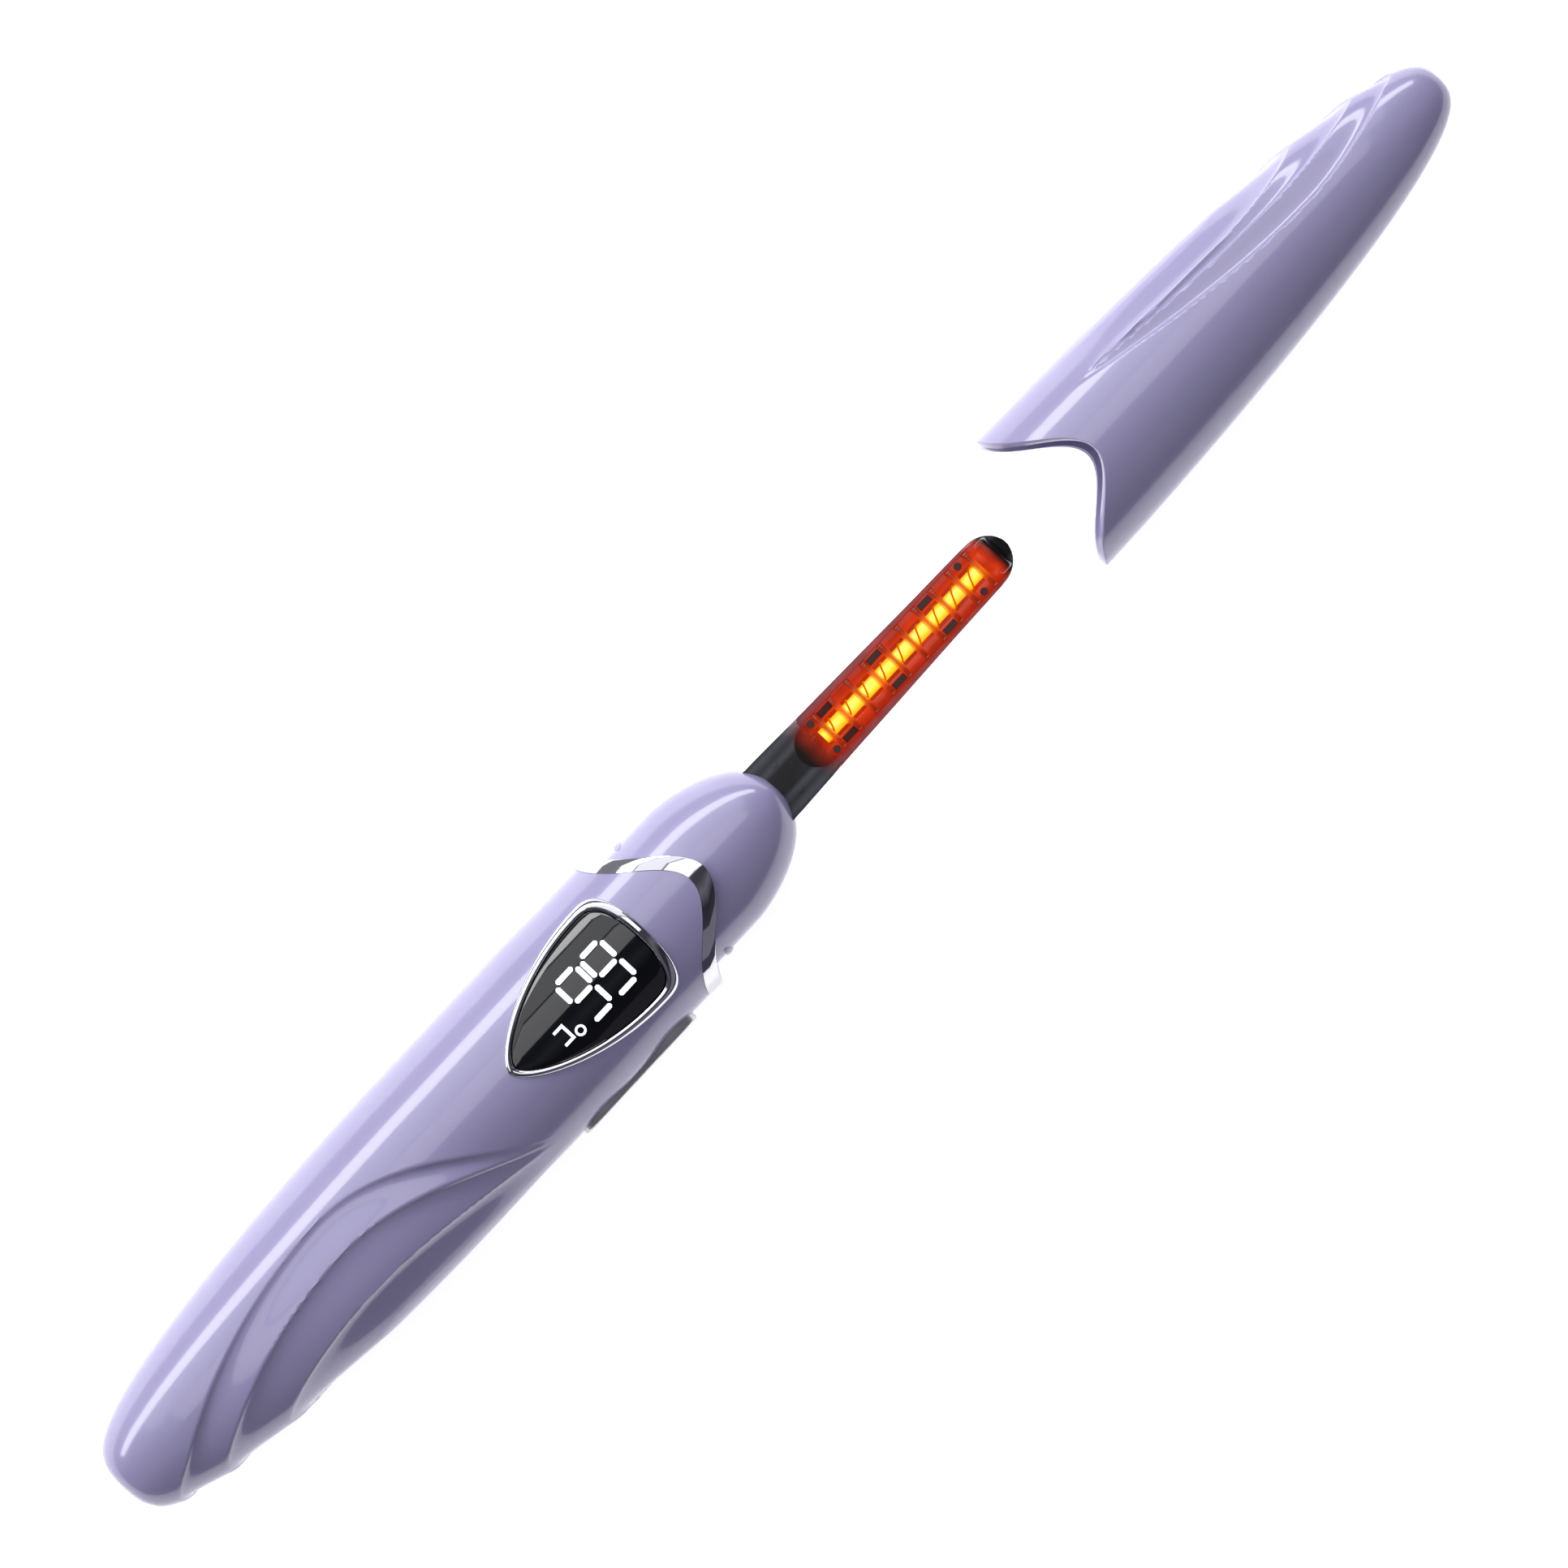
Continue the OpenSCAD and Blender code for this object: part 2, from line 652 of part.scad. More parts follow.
module chassis() {
    spine = [[-2.5, 11], [2.5, 11], [4.6, 24], [5.8, 50], [5.8, 82], [3.9, 84],
        [3.9, 95], [-3.9, 95], [-3.9, 84], [-5.8, 82], [-5.8, 50], [-4.6, 24]];
    color([0.82, 0.82, 0.8])
        place()
            difference() {
                union() {
                    through_front(-4.6, -3.6) polygon(spine);
                    translate([-4.2, -4.2, 52]) cube([8.4, 7.9, 1]);
                    for (p = board_screws)
                        translate([p[0], 2.63, p[1]]) rotate([-90, 0, 0]) cylinder(r = 1.3, h = 1.2);
                    translate([5.2, -2.6, rocker_height - 1.3]) cube([0.6, 7.2, 2.6]);
                    for (y = [-2.6, 1.3])
                        translate([5.2, y, rocker_height - 1.3]) cube([2.5, 1.3, 2.6]);
                }
                for (p = board_screws)
                    translate([p[0], 2, p[1]]) rotate([-90, 0, 0]) cylinder(r = 0.52, h = 3);
                for (x = [-2.8, 2.8])
                    translate([x, 3, 92]) rotate([-90, 0, 0]) cylinder(r = 0.6, h = 2);
                translate([rocker_axis_x, 3, rocker_height]) rotate([90, 0, 0]) cylinder(r = 0.52, h = 6);
            }
}

board_screws = [[-3.6, 57], [3.6, 84]];

module main_board() {
    color(board_green)
        place()
            difference() {
                translate([-4.9, 1.6, 53.5]) cube([9.8, 1, 33]);
                for (p = board_screws)
                    translate([p[0], 1, p[1]]) rotate([-90, 0, 0]) cylinder(r = 0.6, h = 2);
            }
}

module board_parts() {
    color([0.12, 0.12, 0.13])
        place() {
            translate([-3.4, 0.4, 62]) cube([4, 1.17, 4]);
            translate([-3.8, -0.6, 70]) cube([3.4, 2.17, 3.4]);
            translate([-3, 0.8, 77]) cube([2.6, 0.77, 1.8]);
            for (z = [76, 79, 82])
                translate([0.6, 0.9, z]) cube([1.2, 0.67, 0.7]);
            translate([0.5, 1.57, 58]) rotate([90, 0, 0]) cylinder(r = 1.4, h = 2.6);
        }
}

module battery() {
    color([0.35, 0.5, 0.75])
        place() {
            translate([0, -1, 15]) cylinder(r = 4.2, h = 35.6);
            translate([0, -1, 50.6]) cylinder(r = 1.4, h = 0.6);
        }
}

module battery_pad() {
    color([0.25, 0.25, 0.27])
        place()
            difference() {
                translate([-2.6, 1.6, 20]) cube([5.2, 1.98, 28]);
                translate([0, -1, 14]) cylinder(r = 4.2 + 0.02, h = 40);
            }
}

module battery_leads() {
    color([0.8, 0.12, 0.1])
        place() {
            wire([[-5.1, 0.5, 50.3], [-5.35, 0.6, 53], [-5.35, 1.2, 57]], 0.3);
            wire([[5.1, 0.5, 50.3], [5.35, 0.6, 53], [5.35, 1.2, 57]], 0.3);
        }
}

module port_leads() {
    color([0.15, 0.15, 0.17])
        place()
            for (x = [-1, 1])
                wire([[x * 2, 1.15, 11.5], [x * 4.9, 1.15, 17], [x * 5.9, 0.8, 28], [x * 6.1, 0.8, 50],
                    [x * 5.4, 2.1, 57]], 0.3);
}

module port_board() {
    color(board_green)
        place()
            translate([-3.3, 1.65, 4.8]) cube([6.6, 0.8, 8.4]);
}

module usb_port() {
    color(chrome)
        place()
            difference() {
                translate([0, 0, 2.0]) linear_extrude(height = 7.3) rounded(8.74, 3.16, 1.5);
                translate([0, 0, 1.5]) linear_extrude(height = 6.9) rounded(8.34, 2.6, 1.25);
            }
}

module port_tongue() {
    color([0.1, 0.1, 0.1])
        place()
            translate([-3.3, -0.35, 3.2]) cube([6.6, 0.7, 5.2]);
}

module heater_leads() {
    color([0.7, 0.2, 0.15])
        place()
            for (x = [-0.6, 0.6])
                wire([[x * 1.2, 0.3, 112.2], [x, 0, 110], [x, 0, 97],
                    [x * 3, -0.6, 92], [x * 3, 1.3, 87.2]], 0.28);
}

module screw_y(x, y, z, head, length) {
    translate([x, y, z]) rotate([-90, 0, 0]) {
        difference() {
            cylinder(r = head, h = 0.7);
            translate([0, 0, -0.1]) rotate([0, 0, 30]) cylinder(r = head * 0.5, h = 0.45, $fn = 6);
        }
        cylinder(r = 0.5, h = length);
    }
}

module head_screws() {
    color(silver)
        place()
            for (x = [-2.8, 2.8])
                screw_y(x, 2.88, 92, 1.0, 2.8);
}

module chassis_screws() {
    color(silver)
        place()
            for (p = board_screws)
                screw_y(p[0], 0.88, p[1], 1.1, 3.5);
}

cap_shell();
handle_shell();
trim_band();
head_housing();
display_bezel();
display_lens();
display_digits();
display_board();
rocker_button();
rocker_pin();
switch_bodies();
switch_plunger_upper();
switch_plunger_lower();
comb_back();
comb_face();
comb_pins();
heater_core();
heater_coil();
heater_clips();
thermistor();
heater_leads();
chassis();
main_board();
board_parts();
battery();
battery_pad();
battery_leads();
port_leads();
port_board();
usb_port();
port_tongue();
head_screws();
chassis_screws();
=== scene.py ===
import math

import bmesh
import bpy
from mathutils import Matrix, Vector


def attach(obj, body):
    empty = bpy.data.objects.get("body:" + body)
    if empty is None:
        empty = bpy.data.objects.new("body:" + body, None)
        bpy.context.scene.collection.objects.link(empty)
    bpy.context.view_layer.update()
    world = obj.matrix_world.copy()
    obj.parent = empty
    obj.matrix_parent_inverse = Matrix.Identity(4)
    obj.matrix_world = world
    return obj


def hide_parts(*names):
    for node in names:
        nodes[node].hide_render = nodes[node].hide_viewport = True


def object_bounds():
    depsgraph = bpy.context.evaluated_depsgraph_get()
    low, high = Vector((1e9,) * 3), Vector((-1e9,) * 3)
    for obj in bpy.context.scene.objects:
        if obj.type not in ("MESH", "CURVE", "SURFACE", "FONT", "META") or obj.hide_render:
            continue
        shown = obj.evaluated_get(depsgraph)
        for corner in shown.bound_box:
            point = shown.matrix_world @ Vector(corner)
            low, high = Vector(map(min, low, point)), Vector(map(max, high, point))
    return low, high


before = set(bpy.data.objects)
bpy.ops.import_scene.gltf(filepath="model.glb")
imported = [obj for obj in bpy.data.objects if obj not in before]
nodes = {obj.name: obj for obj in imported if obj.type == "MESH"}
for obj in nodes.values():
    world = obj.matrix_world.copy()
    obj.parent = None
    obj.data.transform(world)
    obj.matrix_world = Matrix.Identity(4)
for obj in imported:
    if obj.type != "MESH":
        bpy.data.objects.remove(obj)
cad_box = [list(corner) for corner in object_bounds()]

# Camera and table: the curler lies on its back on a pale table and is seen from straight above its
# display, turned so that the tail is low on the left and the cap high on the right.
LENS, SENSOR = 150, 36
VIEW_WIDTH = 0.170
TURNED = 43
low, high = Vector(cad_box[0]), Vector(cad_box[1])
middle = (low + high) / 2
camera = bpy.data.objects.new("camera", bpy.data.cameras.new("camera"))
bpy.context.scene.collection.objects.link(camera)
camera.data.lens = LENS
camera.data.sensor_width = SENSOR
camera.location = (middle.x, middle.y, high.z + VIEW_WIDTH * LENS / SENSOR)
camera.rotation_euler = (0, 0, math.radians(TURNED))
camera.data.clip_end = 5
bpy.context.scene.camera = camera
bpy.context.scene.view_settings.view_transform = "Standard"


def linear(hex_colour):
    channels = [int(hex_colour[i : i + 2], 16) / 255 for i in (1, 3, 5)]
    return tuple(c / 12.92 if c <= 0.04045 else ((c + 0.055) / 1.055) ** 2.4 for c in channels) + (1,)


def add(material, kind, links=None, **settings):
    """Adds one node: settings name its properties or input sockets, links join inputs to outputs."""
    node = material.node_tree.nodes.new(kind)
    for key, value in settings.items():
        if hasattr(node, key) and key not in node.inputs:
            setattr(node, key, value)
        else:
            node.inputs[key.replace("_", " ")].default_value = value
    for socket, source in (links or {}).items():
        material.node_tree.links.new(source, node.inputs[socket])
    return node


def blank_material(name):
    material = bpy.data.materials.new(name)
    material.use_nodes = True
    material.node_tree.nodes.clear()
    return material


def finish_material(material, shader):
    add(material, "ShaderNodeOutputMaterial", {"Surface": shader.outputs[0]})
    return material


def set_stops(ramp, stops):
    """Gives a colour ramp its stops: its own two ends first, then the ones between."""
    for i, (place, colour) in enumerate(stops):
        stop = ramp.color_ramp.elements[i] if i < 2 else ramp.color_ramp.elements.new(place)
        stop.position = place
        stop.color = linear(colour)


TABLE_HALF, TABLE_DROP = 1.5, 0.0002
table_mesh = bmesh.new()
bmesh.ops.create_grid(table_mesh, x_segments=2, y_segments=2, size=TABLE_HALF)
for v in table_mesh.verts:
    v.co.z -= TABLE_DROP
table = bpy.data.objects.new("table", bpy.data.meshes.new("table"))
table_mesh.to_mesh(table.data)
table_mesh.free()
bpy.context.scene.collection.objects.link(table)
# Matte white paper: fine fibre in the surface, lit a little so that it stays white.
paper = blank_material("matte_white_paper")
paper_coords = add(paper, "ShaderNodeTexCoord")
paper_grain = add(paper, "ShaderNodeTexNoise", {"Vector": paper_coords.outputs["Object"]},
                  Scale=900.0, Detail=3.0)
paper_bump = add(paper, "ShaderNodeBump", {"Height": paper_grain.outputs["Fac"]},
                 Strength=0.02, Distance=0.0002)
finish_material(paper, add(paper, "ShaderNodeBsdfPrincipled", {"Normal": paper_bump.outputs["Normal"]},
                           Base_Color=linear("#F8F8F9"), Roughness=0.9, Emission_Color=linear("#FFFFFF"),
                           Emission_Strength=0.8))
table.data.materials.append(paper)


# Light: one narrow strip beside the body draws the long white streak down its left, a broad soft panel
# beyond it gives the pale side, and a weak panel opposite keeps the shaded side from going black.
def area_light(name, place, aim, size, power, colour):
    light = bpy.data.objects.new(name, bpy.data.lights.new(name, "AREA"))
    light.data.shape = "RECTANGLE"
    light.data.size, light.data.size_y = size
    light.data.energy = power
    light.data.color = linear(colour)[:3]
    light.location = place
    direction = Vector(aim) - Vector(place)
    across = direction.cross(Vector((0, 1, 0))).normalized()
    along = across.cross(direction).normalized()
    light.rotation_euler = Matrix((across, along, -direction.normalized())).transposed().to_euler()
    bpy.context.scene.collection.objects.link(light)


area_light("streak_strip", (-0.50, 0, 0.34), (0, 0, 0.008), (0.15, 1.6), 5.2, "#FFFFFF")
area_light("soft_panel", (-0.62, 0, 0.85), (0, 0, 0), (0.4, 1.4), 2.0, "#FBFBFF")
area_light("shade_panel", (0.8, 0, 0.5), (0, 0, 0), (0.5, 1.2), 0.3, "#F3F0FF")
area_light("top_panel", (-0.3, 0, 1.3), (0, 0, 0), (0.5, 1.4), 3.4, "#FFFFFF")
world = bpy.data.worlds.new("pale_room")
bpy.context.scene.world = world
world.use_nodes = True
sides = add(world, "ShaderNodeSeparateXYZ", {"Vector": add(world, "ShaderNodeTexCoord").outputs["Generated"]})
share = add(world, "ShaderNodeMapRange", {"Value": sides.outputs[0]}, From_Min=-1.0, From_Max=1.0)
walls = add(world, "ShaderNodeValToRGB", {"Fac": share.outputs[0]})
set_stops(walls, [(0.0, "#E9E9F2"), (1.0, "#77738A"), (0.3, "#D4D4E0"), (0.42, "#6E6C7C"),
                  (0.55, "#7C7A88"), (0.62, "#B9B7C4"), (0.72, "#55535F")])
world.node_tree.links.new(walls.outputs["Color"], world.node_tree.nodes["Background"].inputs["Color"])
world.node_tree.nodes["Background"].inputs["Strength"].default_value = 0.34


# Handle shell: one oval injection-moulded ABS shell, gloss lavender, drawn round a long core. Three nested
# petal scoops curl round its right side to the tail; openings are left for display, rocker and socket.
HALF_WIDTH = 10.33
DEPTH_RATIO = 0.83
TRAVEL = 62.0
CAPPED = 149.5
BACK_FLAT = 0.09
LIFT = HALF_WIDTH * DEPTH_RATIO - BACK_FLAT
WAVE_HEIGHT = 8.0
PETAL_CENTRE = 75.4
lay = (Matrix.Translation((0, -(CAPPED + TRAVEL) / 2000, LIFT / 1000))
       @ Matrix.Rotation(-math.pi / 2, 4, "X") @ Matrix.Scale(0.001, 4))


def smooth(t):
    t = min(max(t, 0.0), 1.0)
    return t * t * (3 - 2 * t)


def body_half_width(v):
    """Half the body's width at a height v from the tail, in mm."""
    curve = (1 - (1 - min(max(v, 1e-6) / 50, 1)) ** 1.8) ** 0.263
    return HALF_WIDTH * curve - 0.2 * smooth((v - 70) / 9)


def wave_drop(s):
    """How far the ring's wave has fallen from its crest, s being 0 at the front and 1 at the side."""
    return WAVE_HEIGHT * (0.78 * (1 - math.cos(math.pi * s)) / 2 + 0.22 * s * s)


def petal_scoop(angle, v, petals, meet, rest, flip, size):
    """Depth in mm of the nested scoops at an angle from the front and a height."""
    away = abs(angle - PETAL_CENTRE)
    span = (meet - v) * flip
    if span <= 0:
        return 0.0
    measures = []
    for widest, tip, width in petals:
        below = (widest - v) * flip
        if below > 0:
            ratio = math.hypot(away / width, below / abs(widest - tip))
        else:
            share = span / abs(meet - widest)
            ratio = away / (rest + (width - rest) * math.sin(math.pi / 2 * min(share, 1)))
        measures.append((ratio, width))
    inside = [i for i, m in enumerate(measures) if m[0] < 1]
    if not inside:
        return 0.0
    k = inside[0]
    ratio, width = measures[k]
    in_from_edge = (1 - ratio) * width
    if k > 0:
        to_next = (measures[k - 1][0] - 1) * measures[k - 1][1]
        across = in_from_edge / (in_from_edge + to_next + 1e-6)
    else:
        across = min(1.0, (1 - ratio) / 0.75)
    fade = smooth(span / 14)
    return size * fade * math.sin(math.pi * min(across, 1) ** 0.62) if across > 0 else 0.0


CREASE = math.radians(38)


def piece_from(mesh, name, body, material, replaced):
    """Lays a finished shape on the table as one piece that rides on a body and stands for CAD nodes."""
    bmesh.ops.recalc_face_normals(mesh, faces=mesh.faces)
    bmesh.ops.transform(mesh, matrix=lay, verts=mesh.verts)
    data = bpy.data.meshes.new(name)
    mesh.to_mesh(data)
    mesh.free()
    for polygon in data.polygons:
        polygon.use_smooth = True
    data.set_sharp_from_angle(angle=CREASE)
    data.materials.append(material)
    piece = bpy.data.objects.new(name, data)
    bpy.context.scene.collection.objects.link(piece)
    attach(piece, body)
    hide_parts(*replaced)
    return piece


def spun(profile, steps):
    """Turns a chain of (radius, height) points all the way round the Z axis."""
    mesh = bmesh.new()
    chain = [mesh.verts.new((r, 0, z)) for r, z in profile]
    edges = [mesh.edges.new(pair) for pair in zip(chain, chain[1:])]
    bmesh.ops.spin(mesh, geom=chain + edges, axis=(0, 0, 1), cent=(0, 0, 0), steps=steps,
                   angle=2 * math.pi, use_merge=True)
    bmesh.ops.remove_doubles(mesh, verts=mesh.verts, dist=2e-5)
    return mesh


def gloss_lavender_abs(name):
    """Gloss lavender ABS from a polished mould: even colour, sharp reflections and a very faint ripple."""
    material = blank_material(name)
    coords = add(material, "ShaderNodeTexCoord")
    cloud = add(material, "ShaderNodeTexNoise", {"Vector": coords.outputs["Object"]}, Scale=45.0, Detail=2.0)
    ramp = add(material, "ShaderNodeMapRange", {"Value": cloud.outputs["Fac"]}, From_Min=0.3, From_Max=0.7,
               To_Min=0.0, To_Max=0.25)
    tone = add(material, "ShaderNodeMix", {0: ramp.outputs[0]}, data_type="RGBA")
    tone.inputs[6].default_value = linear("#9F9AC0")
    tone.inputs[7].default_value = linear("#9289B2")
    ripple = add(material, "ShaderNodeTexNoise", {"Vector": coords.outputs["Object"]},
                 Scale=160.0, Detail=1.0)
    bump = add(material, "ShaderNodeBump", {"Height": ripple.outputs["Fac"]}, Strength=0.03, Distance=0.0004)
    links = {"Base Color": tone.outputs[2], "Normal": bump.outputs["Normal"]}
    shader = add(material, "ShaderNodeBsdfPrincipled", links, Roughness=0.21, IOR=1.52, Coat_Weight=0.6,
                 Coat_Roughness=0.04, Subsurface_Weight=0.04, Subsurface_Scale=0.002)
    return finish_material(material, shader)


lavender = gloss_lavender_abs("gloss_lavender_abs")
ON_AXIS = 1e-3
HANDLE_PETALS = [(35.8, 18, 42), (35.8, 9.5, 75), (35.8, 3.4, 101)]
BAND_BASE = 91.3
HANDLE_WALL = 1.7
outer_heights = [0.06 + 0.5 * (i / 8) ** 1.6 for i in range(8)]
outer_heights += [0.6 + 90.67 * (i / 275) ** 1.12 for i in range(276)]
inner_heights = (91.27, 84, 70, 50, 30, 18, 10, 6)
profile = [(0.0, 0.02)] + [(body_half_width(v), v) for v in outer_heights]
profile += [(body_half_width(v) - HANDLE_WALL, v) for v in inner_heights] + [(0.0, 5.0)]
handle_mesh = spun(profile, 280)
for v in handle_mesh.verts:
    height = v.co.z
    radius = math.hypot(v.co.x, v.co.y)
    if radius < ON_AXIS:
        continue
    sine, cosine = v.co.x / radius, -v.co.y / radius
    inset = max(0.0, body_half_width(height) - radius)
    share = (max(0.0, height - 50) / (BAND_BASE - 50)) ** 2
    z = height - wave_drop(abs(sine)) * share
    edge = body_half_width(z)
    if inset < 0.5:
        angle = math.degrees(math.atan2(sine, cosine))
        angle = angle + 360 if angle < PETAL_CENTRE - 180 else angle
        depth = petal_scoop(angle, z, HANDLE_PETALS, 62, 13, 1, 0.45)
        v.co = ((edge - depth) * sine, min(-(edge * DEPTH_RATIO - depth) * cosine, LIFT), z)
    else:
        v.co = ((edge - inset) * sine, -(edge * DEPTH_RATIO - inset * DEPTH_RATIO) * cosine, z)
handle = piece_from(handle_mesh, "handle_shell_moulded", "handle", lavender, ["handle_shell"])


def cut_with(piece, cutter_mesh, name):
    """Cuts an opening with a closed mesh, applies the cut and drops the cutter."""
    bmesh.ops.recalc_face_normals(cutter_mesh, faces=cutter_mesh.faces)
    bmesh.ops.transform(cutter_mesh, matrix=lay, verts=cutter_mesh.verts)
    cutter = bpy.data.objects.new(name, bpy.data.meshes.new(name))
    cutter_mesh.to_mesh(cutter.data)
    cutter_mesh.free()
    bpy.context.scene.collection.objects.link(cutter)
    cut = piece.modifiers.new(name, "BOOLEAN")
    cut.operation = "DIFFERENCE"
    cut.solver = "EXACT"
    cut.object = cutter
    graph = bpy.context.evaluated_depsgraph_get()
    done = bpy.data.meshes.new_from_object(piece.evaluated_get(graph))
    piece.modifiers.clear()
    piece.data = done
    for polygon in done.polygons:
        polygon.use_smooth = True
    done.set_sharp_from_angle(angle=CREASE)
    bpy.data.objects.remove(cutter)


ROCKER_HEIGHT = 71.8
ROCKER_HALF = 8.8


def eight_outline(grow, count=72):
    """Figure-eight outline as (front-to-back, height) pairs, once round."""
    side = []
    for i in range(count + 1):
        e = 2 * i / count - 1
        u = abs(e)
        lobe = 0.7 + 1.27 * (1 - math.cos(math.pi * min(u / 0.6, 1))) / 2
        tip = math.sqrt(max(0.0, 1 - ((u - 0.6) / 0.4) ** 2)) if u > 0.6 else 1.0
        side.append((lobe * tip + grow, ROCKER_HEIGHT + e * (ROCKER_HALF + grow)))
    return side + [(-y, z) for y, z in reversed(side)]


def points_of(result):
    return [g for g in result["geom"] if isinstance(g, bmesh.types.BMVert)]


def round_edges(mesh, edges, radius, segments):
    bmesh.ops.bevel(mesh, geom=edges, offset=radius, offset_type="OFFSET", segments=segments, profile=0.5,
                    affect="EDGES", material=-1)


slot_cutter = bmesh.new()
for y, z in eight_outline(0.22):
    slot_cutter.verts.new((7.6, y, z))
bmesh.ops.remove_doubles(slot_cutter, verts=slot_cutter.verts, dist=1e-4)
bmesh.ops.contextual_create(slot_cutter, geom=slot_cutter.verts[:])
risen = bmesh.ops.extrude_face_region(slot_cutter, geom=slot_cutter.faces[:])
bmesh.ops.translate(slot_cutter, vec=(5, 0, 0), verts=points_of(risen))
cut_with(handle, slot_cutter, "rocker_opening")

port_cutter = bmesh.new()
bmesh.ops.create_cube(port_cutter, size=1,
                      matrix=Matrix.Translation((0, 0, 1.4)) @ Matrix.Diagonal((9.2, 3.5, 4.4, 1)))
upright = [e for e in port_cutter.edges if abs(e.verts[0].co.z - e.verts[1].co.z) > 1]
round_edges(port_cutter, upright, 1.6, 8)
cut_with(handle, port_cutter, "socket_opening")


# Trim band: one wavy ring of chrome-plated ABS between handle and cap, high at front and back and low at the
# sides. Its outer wall flares a little to a crisp lip, inside which a narrow ledge takes the cap's rim.
def chrome_plate(name):
    """Chrome over ABS: near-mirror, with the very slight waviness a plated moulding has."""
    material = blank_material(name)
    coords = add(material, "ShaderNodeTexCoord")
    wave = add(material, "ShaderNodeTexNoise", {"Vector": coords.outputs["Object"]}, Scale=220.0, Detail=1.0)
    bump = add(material, "ShaderNodeBump", {"Height": wave.outputs["Fac"]}, Strength=0.05, Distance=0.0003)
    haze = add(material, "ShaderNodeMapRange", {"Value": wave.outputs["Fac"]}, To_Min=0.03, To_Max=0.09)
    links = {"Normal": bump.outputs["Normal"], "Roughness": haze.outputs[0]}
    shader = add(material, "ShaderNodeBsdfPrincipled", links, Base_Color=linear("#D2D2D8"), Metallic=1.0)
    return finish_material(material, shader)


chrome = chrome_plate("chrome_plated_abs")
CREST = 93.4
BAND_WALL = 10.13
band_profile = [(0.08, -2.1), (0.13, -1.1), (0.17, -0.22), (0.14, -0.06), (0.04, 0.0), (-0.1, -0.06),
                (-0.22, -0.2), (-0.8, -0.3), (-1.45, -0.34), (-1.62, -0.3), (-1.62, -2.1), (0.08, -2.1)]
band_mesh = spun([(BAND_WALL + r, CREST + z) for r, z in band_profile], 240)
for v in band_mesh.verts:
    radius = math.hypot(v.co.x, v.co.y)
    sine, cosine = v.co.x / radius, v.co.y / radius
    inset = BAND_WALL - radius
    depth = (BAND_WALL * DEPTH_RATIO - inset * 0.93) * cosine
    v.co = (radius * sine, min(depth, LIFT), v.co.z - wave_drop(abs(sine)))
piece_from(band_mesh, "trim_band_chrome", "handle", chrome, ["trim_band"])


# Head housing: the lavender neck and dome that carries the comb, the same ABS as the handle, pushed into it
# by a short collar. Low lens-shaped nubs on its sides click into the cap.
NECK_WIDE, NECK_DEEP = 8.45, 7.0
DOME_BASE, DOME_TOP = 93.0, 105.0
COLLAR_FOOT, NUB_HEIGHT = 80.5, 88.2
housing_profile = [(1, z) for z in (COLLAR_FOOT, 84, 87, 90, 92, DOME_BASE)]
housing_profile += [((1 - (i / 60) ** 1.6) ** 0.4, DOME_BASE + (DOME_TOP - DOME_BASE) * i / 60)
                    for i in range(1, 60)]
housing_mesh = spun([(0.0, COLLAR_FOOT)] + housing_profile + [(0.0, DOME_TOP)], 160)
for v in housing_mesh.verts:
    radius = math.hypot(v.co.x, v.co.y)
    if radius < ON_AXIS:
        continue
    sine, cosine = v.co.x / radius, v.co.y / radius
    rise = min(max((v.co.z - DOME_BASE) / (DOME_TOP - DOME_BASE), 0), 1)
    deep = (1 - rise ** 1.6) ** 0.2 if v.co.z > DOME_BASE else radius
    v.co = (NECK_WIDE * radius * sine, NECK_DEEP * min(deep, 1) * cosine, v.co.z)
for side in (-1, 1):
    nub = bmesh.ops.create_uvsphere(housing_mesh, u_segments=32, v_segments=16, radius=1)["verts"]
    for v in nub:
        along, out, up = v.co.x, v.co.y, v.co.z
        y = along * 2.55
        skin = NECK_WIDE * math.sqrt(1 - (y / NECK_DEEP) ** 2)
        lip = up * 0.75 if up > 0 else up * 0.45
        v.co = (side * (skin + out * 0.3), y, NUB_HEIGHT + lip)
piece_from(housing_mesh, "head_housing_moulded", "handle", lavender, ["head_housing"])


# Cap: a thin lavender ABS shell closed at the nose, its rim cut to the same wave as the band. The petal motif
# of the handle comes back on its left side, turned end for end.
CAP_PETALS = [(118, 132.5, 38), (124, 141, 47), (129, 146, 67)]
CAP_WALL = 1.0


def cap_half_width(v):
    return 9.98 * (1 - (1 - min(max((CAPPED - v) / 66, 0), 1)) ** 1.6) ** 0.335


